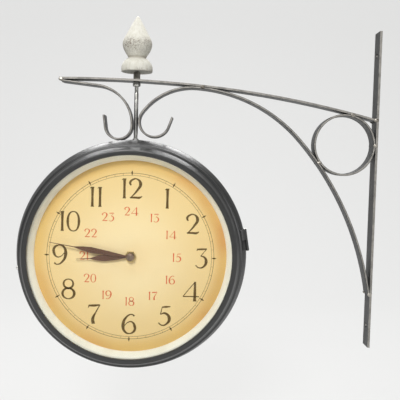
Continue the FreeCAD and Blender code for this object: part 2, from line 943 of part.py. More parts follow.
def make_glass_and_dial(side, place):
    glass_front = s.front_wall + s.fit_play
    glass_back = glass_front + s.glass_thickness
    glass_radius = s.bezel_seat_radius - s.glass_edge_play
    keep(turned(f"{side}_glass",
                rectangle(0.0, glass_radius, y_at(glass_front), y_at(glass_back))), place)
    front = glass_back + s.fit_play
    rim = s.bezel_seat_radius - s.fit_play
    surround = [
        (s.surround_mouth_radius, y_at(front)),
        (rim, y_at(front)),
        (rim, y_at(s.dial_depth)),
        (s.throat_radius, y_at(s.dial_depth)),
        (s.throat_radius, y_at(s.dial_depth - s.throat_land)),
    ]
    keep(turned(f"{side}_dial_surround", surround), place)
    dial = rectangle(s.bushing_radius + s.fit_play, s.dial_radius,
                     y_at(s.dial_depth), y_at(s.dial_depth + s.dial_thickness))
    keep(turned(f"{side}_dial", dial), place)


def face_sketch(body, depth):
    """A sketch parallel to the dial, seen from the front, at this depth."""
    return new_sketch(body, "XZ_Plane", -y_at(depth))


def intermediate_distance():
    """Distance between the centre and the intermediate arbor."""
    return s.slow_module * (s.pinion_teeth + s.wheel_teeth) / 2


def make_movement_housing(side, place):
    half = s.movement_side / 2
    front = s.dial_depth + s.dial_thickness
    floor = front + s.movement_wall
    back = front + s.movement_depth
    case = new_body(f"{side}_movement_case")
    outer = face_sketch(case, back)
    draw_outline(outer, rectangle(-half, half, -half, half))
    pad(case, outer, s.movement_depth)
    cavity = face_sketch(case, floor)
    inner = half - s.movement_wall
    draw_outline(cavity, rectangle(-inner, inner, -inner, inner))
    pocket(case, cavity, s.movement_depth)
    bushing = face_sketch(case, floor)
    draw_circle(bushing, (0.0, 0.0), s.bushing_radius)
    pad(case, bushing, s.movement_wall + s.bushing_length)
    stud = face_sketch(case, floor + s.stud_length)
    draw_circle(stud, (intermediate_distance(), 0.0), s.stud_radius)
    pad(case, stud, s.stud_length + s.movement_wall / 2)
    bore = face_sketch(case, front - s.bushing_length * 2)
    draw_circle(bore, (0.0, 0.0), s.hour_tube_radius + s.running_play)
    pocket(case, bore, s.movement_depth)
    keep(case, place)

    cover = new_body(f"{side}_movement_cover")
    plate = face_sketch(cover, back + s.cover_thickness)
    draw_outline(plate, rectangle(-half, half, -half, half))
    draw_circle(plate, (0.0, 0.0), s.pivot_radius + s.running_play)
    draw_circle(plate, (intermediate_distance(), 0.0), s.minute_radius + s.running_play)
    bay = s.battery_length / 2 + s.battery_nub_length + s.battery_play
    reach = s.battery_radius + s.battery_play
    draw_outline(plate, rectangle(-bay, bay, -s.battery_drop - reach, -s.battery_drop + reach))
    pad(cover, plate, s.cover_thickness)
    keep(cover, place)


def make_battery(side, place):
    """A penlight cell that lies across the foot of the movement, and its two contacts."""
    floor = s.dial_depth + s.dial_thickness + s.movement_wall
    half = s.battery_length / 2
    outline = [
        (-half, 0.0), (-half, s.battery_radius), (half, s.battery_radius),
        (half, s.battery_nub_radius), (half + s.battery_nub_length, s.battery_nub_radius),
        (half + s.battery_nub_length, 0.0),
    ]
    centre = floor + s.battery_play + s.battery_radius
    here = place.multiply(moved(0, y_at(centre), -s.battery_drop))
    keep(turned(f"{side}_battery", outline, axis="H_Axis"), here)
    contacts = []
    seat = s.contact_side / 2
    ends = {"plus": half + s.battery_nub_length + s.fit_play,
            "minus": -half - s.fit_play - s.contact_thickness}
    for name, left in ends.items():
        contact = new_body(f"{side}_{name}_contact")
        sketch = face_sketch(contact, floor + s.contact_side)
        draw_outline(sketch, rectangle(left, left + s.contact_thickness,
                                       -s.battery_drop - seat, -s.battery_drop + seat))
        pad(contact, sketch, s.contact_side)
        contacts.append(contact)
    group(f"{side}_battery_contacts", contacts, place)


def make_circuit(side, place):
    floor = s.dial_depth + s.dial_thickness + s.movement_wall
    board = new_body(f"{side}_circuit_board")
    sketch = face_sketch(board, floor + s.board_thickness)
    draw_outline(sketch, rectangle(-s.board_width / 2, s.board_width / 2,
                                   s.board_base, s.board_base + s.board_height))
    pad(board, sketch, s.board_thickness)
    keep(board, place)
    end = s.coil_length / 2
    inner_end = end - s.coil_flange_width
    bobbin = [
        (-end, 0.0), (-end, s.coil_flange_radius), (-inner_end, s.coil_flange_radius),
        (-inner_end, s.coil_radius), (inner_end, s.coil_radius),
        (inner_end, s.coil_flange_radius), (end, s.coil_flange_radius), (end, 0.0),
    ]
    centre = floor + s.board_thickness + s.contact_gap + s.coil_flange_radius
    here = place.multiply(moved(0, y_at(centre), s.board_base + s.board_height / 2))
    keep(turned(f"{side}_coil", bobbin, axis="H_Axis"), here)


def make_shaft_nut(side, place):
    nut = new_body(f"{side}_shaft_nut")
    sketch = face_sketch(nut, s.dial_depth)
    draw_outline(sketch, hexagon(s.shaft_nut_flats))
    draw_circle(sketch, (0.0, 0.0), s.bushing_radius + s.thread_play)
    pad(nut, sketch, s.shaft_nut_height)
    keep(nut, place)


# ---- motion work -----------------------------------------------------------------------

def involute(angle):
    return math.tan(angle) - angle


def gear_points(teeth, module, first_tooth):
    """Outline of an involute spur gear with one tooth centred on the given angle."""
    pitch = teeth * module / 2
    base = pitch * math.cos(GEAR_PRESSURE_ANGLE)
    root = pitch - GEAR_DEDENDUM * module
    tip = pitch + GEAR_ADDENDUM * module
    half_tooth = math.pi / (2 * teeth) * GEAR_TOOTH_SHARE + involute(GEAR_PRESSURE_ANGLE)
    foot = max(base, root)
    flank = [(root, half_tooth)] if root < base else []
    for step in range(FLANK_STEPS + 1):
        radius = foot + (tip - foot) * step / FLANK_STEPS
        flank.append((radius, half_tooth - involute(math.acos(min(1, base / radius)))))
    points = []
    for tooth in range(teeth):
        middle = first_tooth + 2 * math.pi * tooth / teeth
        outline = [(radius, -angle) for radius, angle in flank] + flank[::-1]
        points += [(radius * math.cos(middle + angle), radius * math.sin(middle + angle))
                   for radius, angle in outline]
    return points


def gear_solid(teeth, module, first_tooth, centre_x, front, thickness):
    """A gear parallel to the dial. The corner angles run anticlockwise, seen from the front."""
    y_back = y_at(front + thickness).value
    corners = [FreeCAD.Vector(centre_x + x, y_back, z)
               for x, z in gear_points(teeth, module, first_tooth)]
    face = Part.Face(Part.makePolygon(corners + corners[:1]))
    return face.extrude(FreeCAD.Vector(0, -number(thickness), 0))


def rod_solid(radius, centre_x, front, back):
    """A round bar along the depth of the clock, from one depth to another."""
    return Part.makeCylinder(
        number(radius), number(back) - number(front),
        FreeCAD.Vector(centre_x, y_at(front).value, 0), FreeCAD.Vector(0, 1, 0))


def add_shape(label, shape, place):
    feature = doc.addObject("Part::Feature", label)
    feature.Shape = shape.removeSplitter()
    keep(feature, place)


def make_motion_work(side, place):
    """Centre pinion, intermediate wheel and hour wheel, in mesh on one line of centres."""
    floor = s.dial_depth + s.dial_thickness + s.movement_wall
    back = s.dial_depth + s.dial_thickness + s.movement_depth
    slow = s.slow_module.value
    distance = intermediate_distance().value
    fine = 2 * distance / (s.hour_pinion_teeth.value + s.hour_wheel_teeth.value)
    thin = s.gear_thickness
    hour_front = floor + s.hour_gear_front
    wheel_front = hour_front + thin + s.gear_spacing
    pinion_front = wheel_front - s.pinion_overlap
    pinion_depth = thin + s.pinion_overlap * 2
    centre_front = wheel_front + thin + s.gear_spacing
    hand_front = minute_hand_front()

    arbor = rod_solid(s.minute_radius, 0, hand_front - s.cap_bore_depth, centre_front + thin)
    pinion = gear_solid(int(s.pinion_teeth.value), slow, 0, 0, pinion_front, pinion_depth)
    centre_teeth = int(s.centre_wheel_teeth.value)
    centre_wheel = gear_solid(centre_teeth, s.centre_wheel_module.value, 0, 0,
                              centre_front, thin)
    pivot = rod_solid(s.pivot_radius, 0, centre_front, back + s.cover_thickness)
    add_shape(f"{side}_minute_arbor", arbor.multiFuse([pinion, centre_wheel, pivot]), place)

    hour_teeth = int(s.hour_wheel_teeth.value)
    tube = rod_solid(s.hour_tube_radius, 0, hour_hand_front(), hour_front + thin)
    hour_gear = gear_solid(hour_teeth, fine, math.pi / hour_teeth, 0, hour_front, thin)
    bore = rod_solid(s.minute_radius + s.running_play, 0,
                     hour_hand_front() - 1.0, hour_front + thin + 1.0)
    add_shape(f"{side}_hour_wheel", tube.fuse(hour_gear).cut(bore), place)

    wheel_teeth = int(s.wheel_teeth.value)
    small_teeth = int(s.hour_pinion_teeth.value)
    wheel_gap = math.pi + math.pi / wheel_teeth
    wheel = gear_solid(wheel_teeth, slow, wheel_gap, distance, wheel_front, thin)
    arbor_front = hour_front - s.pinion_overlap
    small_depth = thin + s.pinion_overlap * 2
    small = gear_solid(small_teeth, fine, math.pi, distance, arbor_front, small_depth)
    knob_front = back + s.cover_thickness + s.knob_gap
    shaft = rod_solid(s.minute_radius, distance, arbor_front, knob_front + s.knob_height / 2)
    stud_bore = rod_solid(s.stud_radius + s.running_play, distance,
                          arbor_front - 1.0, floor + s.stud_length + s.fit_play * 2)
    add_shape(f"{side}_intermediate_wheel",
              wheel.multiFuse([small, shaft]).cut(stud_bore), place)

    knob = [
        (0.0, y_at(knob_front + s.knob_height / 2)),
        (s.minute_radius, y_at(knob_front + s.knob_height / 2)),
        (s.minute_radius, y_at(knob_front)),
        (s.knob_radius, y_at(knob_front)),
        (s.knob_radius, y_at(knob_front + s.knob_height)),
        (0.0, y_at(knob_front + s.knob_height)),
    ]
    keep(turned(f"{side}_set_knob", knob), place.multiply(moved(intermediate_distance(), 0, 0)))


# ---- hands -----------------------------------------------------------------------------

def hour_hand_front():
    """Depth of the hour hand's front, just clear of the bushing's end."""
    bushing_front = s.dial_depth + s.dial_thickness - s.bushing_length
    return bushing_front - s.hour_hand_gap - s.hand_thickness


def minute_hand_front():
    return hour_hand_front() - s.minute_hand_gap - s.hand_thickness


def leaf_outline(length, leaf_start, leaf_middle, leaf_half_width):
    """Half of a leaf shaped hand that points up: neck, leaf, needle and tip."""
    swell = (leaf_start - leaf_middle) * 0.5
    return [
        (s.neck_half_width, 0.0),
        (s.neck_half_width, s.cap_radius),
        (leaf_half_width * 0.72, leaf_middle * 0.55),
        (leaf_half_width, leaf_middle),
        (leaf_half_width * 0.72, leaf_middle + swell),
        (s.needle_half_width, leaf_start),
        (s.tip_half_width, length),
    ]


def make_hand(label, half, bore, front, angle, place):
    """A hand stamped from thin sheet, with a round boss on its arbor."""
    body = new_body(label)
    sketch = face_sketch(body, front + s.hand_thickness)
    draw_outline(sketch, [(-x, z) for x, z in half] + half[::-1])
    pad(body, sketch, s.hand_thickness)
    boss = face_sketch(body, front + s.hand_thickness)
    draw_circle(boss, (0.0, 0.0), s.hand_boss_radius)
    pad(body, boss, s.hand_thickness)
    hole = face_sketch(body, front)
    draw_circle(hole, (0.0, 0.0), bore)
    pocket(body, hole, s.hand_thickness * 2)
    keep(body, place.multiply(turned_about_y(-angle.value)))


def make_hands(side, place):
    make_hand(f"{side}_hour_hand",
              leaf_outline(s.hour_hand_length, s.hour_leaf_start, s.hour_leaf_middle,
                           s.hour_leaf_half_width),
              s.hour_tube_radius, hour_hand_front(), s.hour_angle, place)
    make_hand(f"{side}_minute_hand",
              leaf_outline(s.minute_hand_length, s.minute_leaf_start, s.minute_leaf_middle,
                           s.minute_leaf_half_width),
              s.minute_radius, minute_hand_front(), s.minute_angle, place)
    hand = minute_hand_front()
    cap = [
        (0.0, y_at(hand - s.cap_height)),
        (s.cap_radius * 0.7, y_at(hand - s.cap_height)),
        (s.cap_radius, y_at(hand - s.cap_height * 0.5)),
        (s.cap_radius, y_at(hand)),
        (s.minute_radius, y_at(hand)),
        (s.minute_radius, y_at(hand - s.cap_bore_depth)),
        (0.0, y_at(hand - s.cap_bore_depth)),
    ]
    keep(turned(f"{side}_hand_cap", cap), place)


# ---- hinge and closing screw -----------------------------------------------------------

def hinge_leaf(label, outline, low, high, bore, placement):
    """A leaf's web and its knuckle, which run along the hinge axis from low to high."""
    body = new_body(label)
    web = new_sketch(body, "XY_Plane", low)
    draw_outline(web, outline)
    pad(body, web, high - low)
    axis = (s.hinge_radius, y_at(s.door_depth + s.seam_gap))
    knuckle = new_sketch(body, "XY_Plane", low)
    draw_circle(knuckle, axis, s.knuckle_radius)
    pad(body, knuckle, high - low)
    hole = new_sketch(body, "XY_Plane")
    draw_circle(hole, axis, bore)
    pocket(body, hole, s.hinge_half_length * 3, through_both=True)
    keep(body, placement)


def make_hinge(side, place):
    here = place.multiply(turned_about_y(s.hinge_angle))
    seam = s.door_depth + s.seam_gap
    door_seat = s.skirt_radius + s.leaf_seat_play
    door_web = [
        (door_seat, y_at(seam - 4.4)),
        (door_seat + 1.6, y_at(seam - 4.4)),
        (s.hinge_radius + 1.0, y_at(seam - 1.1)),
        (s.hinge_radius, y_at(seam)),
        (door_seat, y_at(s.door_depth)),
    ]
    hinge_leaf(f"{side}_hinge_door_leaf", door_web, s.knuckle_gap / 2, s.hinge_half_length,
               s.pin_radius + s.pin_play, here)
    lean = (s.rim_radius - s.skirt_radius).value / s.shoulder_depth.value
    case_web = [
        (s.skirt_radius + 0.5 * lean + s.leaf_seat_play, y_at(seam + 0.5)),
        (s.hinge_radius, y_at(seam + 0.5)),
        (s.hinge_radius + 0.6, y_at(seam + 1.2)),
        (s.skirt_radius + 3.4 * lean + s.leaf_seat_play + 0.8, y_at(seam + 3.4)),
        (s.skirt_radius + 3.4 * lean + s.leaf_seat_play, y_at(seam + 3.4)),
    ]
    hinge_leaf(f"{side}_hinge_case_leaf", case_web, -s.hinge_half_length, -s.knuckle_gap / 2,
               s.pin_radius + s.thread_play, here)
    end = s.hinge_half_length + s.knuckle_gap
    pin = [
        (0.0, -end - s.pin_head_height), (s.pin_head_radius, -end - s.pin_head_height),
        (s.pin_head_radius, -end), (s.pin_radius, -end),
        (s.pin_radius, end), (s.pin_head_radius, end),
        (s.pin_head_radius, end + s.pin_head_height), (0.0, end + s.pin_head_height),
    ]
    axis = moved(s.hinge_radius, y_at(seam), 0)
    keep(turned(f"{side}_hinge_pin", pin, role="XZ_Plane"), here.multiply(axis))


def make_latch_screw(side, place):
    seat = s.skirt_radius + s.latch_seat_play
    tongue = s.skirt_radius - s.skirt_wall - s.tongue_play - s.tongue_thickness
    screw = [
        (tongue, 0.0), (tongue, s.latch_shank_radius), (seat, s.latch_shank_radius),
        (seat, s.latch_head_radius), (seat + s.latch_head_height, s.latch_head_radius),
        (seat + s.latch_head_height, 0.0),
    ]
    keep(turned(f"{side}_latch_screw", screw, axis="H_Axis"), place.multiply(latch_frame()))


def make_side(side):
    place = clock_placement(side)
    make_bezel(side, place)
    make_glass_and_dial(side, place)
    make_movement_housing(side, place)
    make_battery(side, place)
    make_circuit(side, place)
    make_shaft_nut(side, place)
    make_motion_work(side, place)
    make_hands(side, place)
    make_hinge(side, place)
    make_latch_screw(side, place)


# ---- build, check and export -----------------------------------------------------------

def check_document():
    for item in doc.Objects:
        if "Invalid" in item.State or "Error" in item.State:
            raise RuntimeError(f"{item.Label} failed: {item.State}")
    for piece in nodes:
        shape = piece.Shape
        if shape.isNull() or not shape.isValid() or shape.Volume <= 0:
            raise RuntimeError(f"{piece.Label} has no sound solid")


def export_parts():
    os.makedirs("parts", exist_ok=True)
    for piece in nodes:
        piece.Shape.exportStep(f"parts/{piece.Label}.step")


make_wall_plate()
make_arm_strip()
make_brace_strip()
make_left_scroll()
make_ring_strip()
make_welds()
make_stem()
make_case_band()
for side in ("front", "rear"):
    make_side(side)
doc.recompute()
check_document()
export_parts()
print(f"{len(nodes)} pieces exported")
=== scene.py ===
# %% [markdown]
# # A double sided station clock on a scroll bracket
# A round clock with a dial on both faces hangs on a short rod from an arched iron bracket.
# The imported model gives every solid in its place. This lesson dresses it: it rounds the
# edges that catch the light, turns the round parts on a lathe, prints the dials, and gives
# each surface a finish of its own.

import math

import bmesh
import bpy
from mathutils import Matrix, Vector, noise


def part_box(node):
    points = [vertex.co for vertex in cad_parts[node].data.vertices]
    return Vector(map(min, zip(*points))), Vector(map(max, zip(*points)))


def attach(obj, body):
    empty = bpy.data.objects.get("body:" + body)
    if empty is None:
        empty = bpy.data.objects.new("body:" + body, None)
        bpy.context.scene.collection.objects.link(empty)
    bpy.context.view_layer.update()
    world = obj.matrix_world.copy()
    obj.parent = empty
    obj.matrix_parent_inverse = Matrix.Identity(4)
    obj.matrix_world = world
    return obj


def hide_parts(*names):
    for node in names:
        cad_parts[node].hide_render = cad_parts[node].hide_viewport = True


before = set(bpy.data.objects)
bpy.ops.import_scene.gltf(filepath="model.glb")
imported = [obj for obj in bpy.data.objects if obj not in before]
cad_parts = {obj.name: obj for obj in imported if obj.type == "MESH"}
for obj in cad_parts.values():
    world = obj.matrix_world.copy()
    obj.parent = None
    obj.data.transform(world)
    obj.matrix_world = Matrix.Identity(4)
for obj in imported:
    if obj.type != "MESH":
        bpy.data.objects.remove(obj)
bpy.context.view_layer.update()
scene = bpy.context.scene
MM = 0.001
CLOCK = Vector((-257.0, 0.0, -71.5)) * MM
HALF_DEPTH = 42.5
SIDES = ("front", "rear")

# %% [markdown]
# ## The camera
# The photograph was taken from a little above the middle of the clock and to the right of
# it, with a lens that sees as far up as across. Three directions turn the camera: what is
# to its right, what is up, and what is behind it.

# %% Place the camera
camera_data = bpy.data.cameras.new("studio_camera")
camera_data.sensor_width = 36.0
camera_data.lens = 54.0
camera_data.clip_start = 0.01
camera = bpy.data.objects.new("studio_camera", camera_data)
right = Vector((0.99952, -0.01664, 0.02622)).normalized()
behind = Vector((-0.01801, -0.99844, 0.05280)).normalized()
up = behind.cross(right).normalized()
right = up.cross(behind)
EYE = Vector((-198.3, -642.5, 20.8)) * MM
turned = Matrix((right, up, behind)).transposed().to_4x4()
camera.matrix_world = Matrix.Translation(EYE) @ turned
scene.collection.objects.link(camera)
scene.camera = camera
scene.view_settings.view_transform = "Standard"
print("camera at", [round(c, 3) for c in camera.location])

# %% [markdown]
# ## Finishes as sums
# A finish is a tree of nodes. Written one node at a time it is long and hard to read, so a
# small class wraps a socket and lets it stand in a sum: `1 - mask * 0.5` adds its own Math
# nodes. Every other node comes from one method of the class below it.


# %% Sockets that can be added and multiplied
class Wire:
    """One socket of a finish, which can stand in a sum like a number."""

    def __init__(self, finish, socket):
        self.finish = finish
        self.socket = socket

    def maths(self, operation, *values):
        return self.finish.node("ShaderNodeMath", {"operation": operation}, values)

    def __add__(self, other):
        return self.maths("ADD", self, other)

    def __sub__(self, other):
        return self.maths("SUBTRACT", self, other)

    def __rsub__(self, other):
        return self.maths("SUBTRACT", other, self)

    def __mul__(self, other):
        return self.maths("MULTIPLY", self, other)

    def __truediv__(self, other):
        return self.maths("DIVIDE", self, other)

    def __abs__(self):
        return self.maths("ABSOLUTE", self)

    def step(self, low, high):
        """0 below low, 1 above high and smooth between them."""
        return self.finish.node(
            "ShaderNodeMapRange", {"interpolation_type": "SMOOTHSTEP"},
            {"Value": self, "From Min": low, "From Max": high})

    __radd__ = __add__
    __rmul__ = __mul__


def tint(code):
    """A colour as it is seen on a screen, such as "f4ddab", in the shader's numbers."""
    shares = [int(code[i:i + 2], 16) / 255 for i in (0, 2, 4)]
    return tuple(c / 12.92 if c <= 0.04045 else ((c + 0.055) / 1.055) ** 2.4 for c in shares)


class Finish:
    """A material with one Principled shader and a short way to add nodes to it."""

    def __init__(self, name, colour="808080", roughness=0.5, **sockets):
        self.material = bpy.data.materials.new(name)
        self.material.use_nodes = True
        self.tree = self.material.node_tree
        self.shader = self.tree.nodes["Principled BSDF"]
        self.feed("Base Color", tint(colour))
        self.feed("Roughness", roughness)
        for key, value in sockets.items():
            self.feed(key.replace("_", " ").title().replace("Ior", "IOR"), value)

    def give(self, socket, value):
        if isinstance(value, Wire):
            self.tree.links.new(value.socket, socket)
        elif isinstance(value, tuple) and len(value) == 3 and socket.type == "RGBA":
            socket.default_value = (*value, 1.0)
        else:
            socket.default_value = value

    def feed(self, name, value):
        self.give(self.shader.inputs[name], value)

    def node(self, kind, settings=None, values=(), output=0):
        """Add a node: its settings first, then its sockets, by place or by name."""
        node = self.tree.nodes.new(kind)
        for key, setting in (settings or {}).items():
            setattr(node, key, setting)
        pairs = values.items() if isinstance(values, dict) else enumerate(values)
        for key, value in pairs:
            self.give(node.inputs[key], value)
        return Wire(self, node.outputs[output])

    def place(self, centre=(0, 0, 0), scale=(1, 1, 1)):
        """Object coordinates, moved so that the centre is at zero, and stretched."""
        objects = self.node("ShaderNodeTexCoord", output=3)
        offset = tuple(-c * k for c, k in zip(centre, scale))
        return self.node("ShaderNodeMapping", None,
                         {"Vector": objects, "Location": offset, "Scale": scale})

    def noise(self, scale, detail=3.0, where=None, rough=0.5):
        return self.node("ShaderNodeTexNoise", None, {
            "Vector": where or self.place(), "Scale": scale, "Detail": detail,
            "Roughness": rough})

    def mix(self, first, second, share):
        """A colour that goes from the first to the second as the share goes from 0 to 1."""
        return self.node("ShaderNodeMix", {"data_type": "RGBA"},
                         {0: share, 6: first, 7: second}, output=2)

    def mark(self, name):
        """A number that the modelling left on the faces, such as where an edge is."""
        return self.node("ShaderNodeAttribute", {"attribute_name": name}, output=2)

    def bump(self, height, depth_mm, strength=1.0):
        normal = self.node("ShaderNodeBump", None, {
            "Strength": strength, "Distance": depth_mm * MM, "Height": height})
        self.feed("Normal", normal)


# %% [markdown]
# ## Paint on iron
# The bracket and the case are iron under satin black paint. Sprayed paint is not flat: it
# has a faint orange peel, its gloss changes from place to place, dust lies in it, and it is
# rubbed through to grey metal along edges. The edge faces carry a mark called `edge`, and
# noise breaks it up so that the wear comes in patches. On the bracket that pale grey is
# also a painted highlight: it stands in for the light line that the rounded edges catch.


# %% Black paints
def black_paint(name, colour, worn, gloss, edge_wear_and_light, kept, coat, peel_mm):
    """Wear is how pale the marked edges turn: paint worn through, and on the bracket also a
    painted highlight. Kept is how much paint noise leaves on.
    """
    finish = Finish(name, colour, specular_ior_level=0.6, coat_weight=coat,
                    coat_roughness=0.28)
    cloud = finish.noise(38, 4)
    fine = finish.noise(620, 2)
    patches = finish.noise(120, 5, rough=0.65).step(0.35, 0.6) * kept + (1 - kept)
    # The pale edge colour is worn metal, and on the bracket it is also a painted highlight.
    rubbed_and_lit = finish.mark("edge") * patches * edge_wear_and_light
    dusty = finish.noise(150, 6, rough=0.7).step(0.55, 0.8) * 0.3
    base = finish.mix(tint(colour), tint("38362f"), dusty)
    finish.feed("Base Color", finish.mix(base, tint(worn), rubbed_and_lit))
    finish.feed("Roughness", cloud * 0.2 + fine * 0.08 + (gloss - 0.14) + rubbed_and_lit * 0.12)
    finish.feed("Metallic", rubbed_and_lit * 0.9)
    finish.bump(fine * 0.7 + finish.noise(1500, 1) * 0.3, peel_mm)
    return finish.material


# The bracket's strong, light grey edge wear is partly a painted highlight on its edges and
# rims.
bracket_paint = black_paint("bracket_paint", "141414", "aaa69f", 0.46, 0.82, 0.45, 0.0, 0.05)
case_paint = black_paint("case_paint", "20201f", "8a867e", 0.36, 0.5, 0.9, 0.45, 0.03)

# %% [markdown]
# ## Metals
# Zinc plate is a bright grey that scatters light a little, and turned brass keeps fine
# rings from the lathe. Both are metal all over, so only the tone and the roughness vary.


# %% Bare metals
def metal(name, light, dark, gloss, grain=900):
    finish = Finish(name, light, metallic=1.0)
    patch = finish.noise(grain / 6, 4)
    fine = finish.noise(grain, 2)
    finish.feed("Base Color", finish.mix(tint(light), tint(dark), patch.step(0.35, 0.75)))
    finish.feed("Roughness", patch * 0.2 + fine * 0.12 + (gloss - 0.12))
    finish.bump(fine, 0.012)
    return finish.material


zinc = metal("zinc_plate", "c9c8c4", "96948e", 0.34)
steel = metal("worn_steel", "b4afa6", "5d574e", 0.42, 500)
brass = metal("turned_brass", "dcc48c", "b89a60", 0.3)
copper = metal("copper_wire", "c98858", "8f5530", 0.3)

# %% [markdown]
# ## Whitewashed wood
# The finial is turned wood under a thin, aged whitewash. The grain runs up it, the wash has
# worn off in specks around the low part of the bulb and on the foot, and the wood shows
# grey brown there. Bands are read from the height, and noise decides where a speck falls.

# %% The finial's wood
FINIAL = Vector((CLOCK.x, 0.0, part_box("finial")[0].z))
NECK_MM = 14.9
wood = Finish("whitewashed_wood", "e8e2d4", 0.62, specular_ior_level=0.3)
height = wood.node("ShaderNodeSeparateXYZ", None, (wood.place(FINIAL),), 2) / MM
grain = wood.noise(55, 5, wood.place(FINIAL, (9, 9, 1)), 0.62)
rings = wood.noise(24, 3, wood.place(FINIAL, (1, 1, 14)))
specks = wood.noise(820, 6, wood.place(FINIAL), 0.7)
drift = wood.noise(70, 3, wood.place(FINIAL)).step(0.38, 0.62)
band = height.step(15, 22) * (1 - height.step(29, 38)) * (drift * 0.6 + 0.4)
foot = (1 - height.step(1, 4)) * drift * 0.7
worn = specks.step(0.46, 0.60) * (band * 0.9 + foot + drift * 0.1)
aged = wood.mix(tint("d4d2c8"), tint("bfbbac"), grain.step(0.35, 0.7) * 0.6 + rings * 0.3)
# The darker band at the narrow neck is painted shade in the crease.
neck_shade = 1 - abs(height - NECK_MM).step(0.3, 2.6)
with_neck_shade = wood.mix(aged, tint("8c8473"), neck_shade * 0.5)
wood.feed("Base Color", wood.mix(with_neck_shade, tint("77695e"), worn))
wood.feed("Roughness", grain * 0.2 + 0.52 + worn * 0.1)
wood.bump(grain * 0.5 - worn * 0.6 + specks * 0.3, 0.25)
finial_wood = wood.material

# %% [markdown]
# ## The printed dial
# The sheet is cream in the middle, and outside the minute track it is a deeper gold, as
# varnished paper goes when it ages. The colour follows the distance from the arbor, so it
# is the length of the object coordinates once the depth is left out of them.


# %% Dial paper
def dial_paper():
    finish = Finish("dial_paper", "f3ddaa", 0.55, specular_ior_level=0.25)
    flat = finish.place(CLOCK, (1, 0, 1))
    radius = finish.node("ShaderNodeVectorMath", {"operation": "LENGTH"}, (flat,), 1) / MM
    cloud = finish.noise(22, 4, finish.place(CLOCK))
    blotch = finish.noise(9, 3, finish.place(CLOCK, (1, 1, 1.6)))
    wobble = radius + (cloud - 0.5) * 7
    spot = finish.noise(260, 5, rough=0.7).step(0.66, 0.8)
    cream = finish.mix(tint("fae2b2"), tint("f3d498"), wobble.step(20, 84))
    aged = finish.mix(cream, tint("f1cf96"), blotch.step(0.5, 0.75) * 0.5)
    gold = finish.mix(tint("e9c177"), tint("e2aa64"), blotch.step(0.4, 0.7))
    ringed = finish.mix(aged, gold, wobble.step(80, 96))
    warm = finish.noise(16, 3, finish.place(CLOCK)).step(0.55, 0.75)
    dim = finish.mix(ringed, tint("dd9a5c"), wobble.step(88, 99) * warm * 0.7)
    finish.feed("Base Color", finish.mix(dim, tint("b89461"), spot * 0.25))
    finish.feed("Roughness", cloud * 0.2 + 0.42)
    finish.bump(finish.noise(1400, 3), 0.015)
    return finish.material


def ink(name, colour, faded):
    finish = Finish(name, colour, 0.6, specular_ior_level=0.2)
    worn = finish.noise(420, 5, rough=0.7).step(0.45, 0.75)
    finish.feed("Base Color", finish.mix(tint(colour), tint(faded), worn * 0.45))
    finish.feed("Roughness", worn * 0.2 + 0.5)
    return finish.material


paper = dial_paper()
brown_ink = ink("brown_ink", "634b25", "a18a54")
red_ink = ink("red_ink", "dd6238", "e69a6c")

# %% [markdown]
# ## Plastics, glass and the rest
# Moulded plastic has a soft spark eroded texture. Window glass hides nothing: it only adds
# a thin reflection that grows at a slant, so it is a clear shader mixed with a mirror by
# the Fresnel law.


# %% Plastics, dark brown enamel and glass
def moulded(name, colour, shade, gloss, grain_mm=0.03, grain=900):
    finish = Finish(name, colour, specular_ior_level=0.45)
    cloud = finish.noise(60, 4)
    fine = finish.noise(grain, 3)
    finish.feed("Base Color", finish.mix(tint(colour), tint(shade), cloud.step(0.3, 0.8)))
    finish.feed("Roughness", fine * 0.18 + cloud * 0.1 + (gloss - 0.12))
    finish.bump(fine, grain_mm)
    return finish.material


def window_glass():
    finish = Finish("window_glass", "f4f8f6", 0.02)
    clear = finish.node("ShaderNodeBsdfTransparent", None, {"Color": (0.975, 0.985, 0.98)})
    mirror = finish.node("ShaderNodeBsdfGlossy", None, {
        "Color": (1.0, 1.0, 1.0), "Roughness": 0.03})
    slant = finish.node("ShaderNodeFresnel", None, {"IOR": 1.45})
    smear = finish.noise(40, 4).step(0.3, 0.9) * 0.15 + 0.25
    both = finish.node("ShaderNodeMixShader", None, (slant * smear, clear, mirror))
    output = finish.tree.nodes["Material Output"]
    finish.tree.links.new(both.socket, output.inputs["Surface"])
    return finish.material


bare_card = moulded("bare_card", "d9d3c5", "cbc3b1", 0.6, 0.02)
cream_plastic = moulded("cream_plastic", "fdfbf1", "f8f3e4", 0.38, 0.02)
black_plastic = moulded("black_plastic", "202022", "29292b", 0.45)
gear_plastic = moulded("gear_plastic", "e9e7df", "dcd8cb", 0.35, 0.01)
hand_paint = moulded("hand_enamel", "60402e", "73503f", 0.36, 0.02, 1500)
cap_metal = metal("bronzed_cap", "9b8474", "6d5a4d", 0.4, 1200)
board_green = moulded("board_lacquer", "1f5a36", "174628", 0.3, 0.02)
foil = moulded("battery_sleeve", "2d4a3a", "263f33", 0.25, 0.008)
clear_glass = window_glass()
print(len(bpy.data.materials), "finishes are ready")

# %% [markdown]
# ## Tools of the bench
# Three ways of making a piece cover nearly everything here. A turned piece is a profile
# that spins once about an axis. A softened piece is a copy of its solid whose sharp edges
# get a small bevel, because no real edge is a perfect line, and the bevel is what catches
# the light. A raised piece, such as a nut or a knob, is a flat outline that is pushed up to
# its height.


# %% Finish and place a piece
def side_frame(side):
    """The clock's own frame: its centre, turned half round for the rear side."""
    turn = Matrix.Rotation(0 if side == "front" else math.pi, 4, "Z")
    return Matrix.Translation(CLOCK) @ turn


def put(bm, matrix):
    bmesh.ops.transform(bm, matrix=matrix, verts=bm.verts)
    return bm


def block(bm, size, centre):
    """Add a box of this size in millimetres."""
    made = bmesh.ops.create_cube(bm, size=1.0)
    bmesh.ops.scale(bm, vec=Vector(size) * MM, verts=made["verts"])
    bmesh.ops.translate(bm, vec=Vector(centre) * MM, verts=made["verts"])


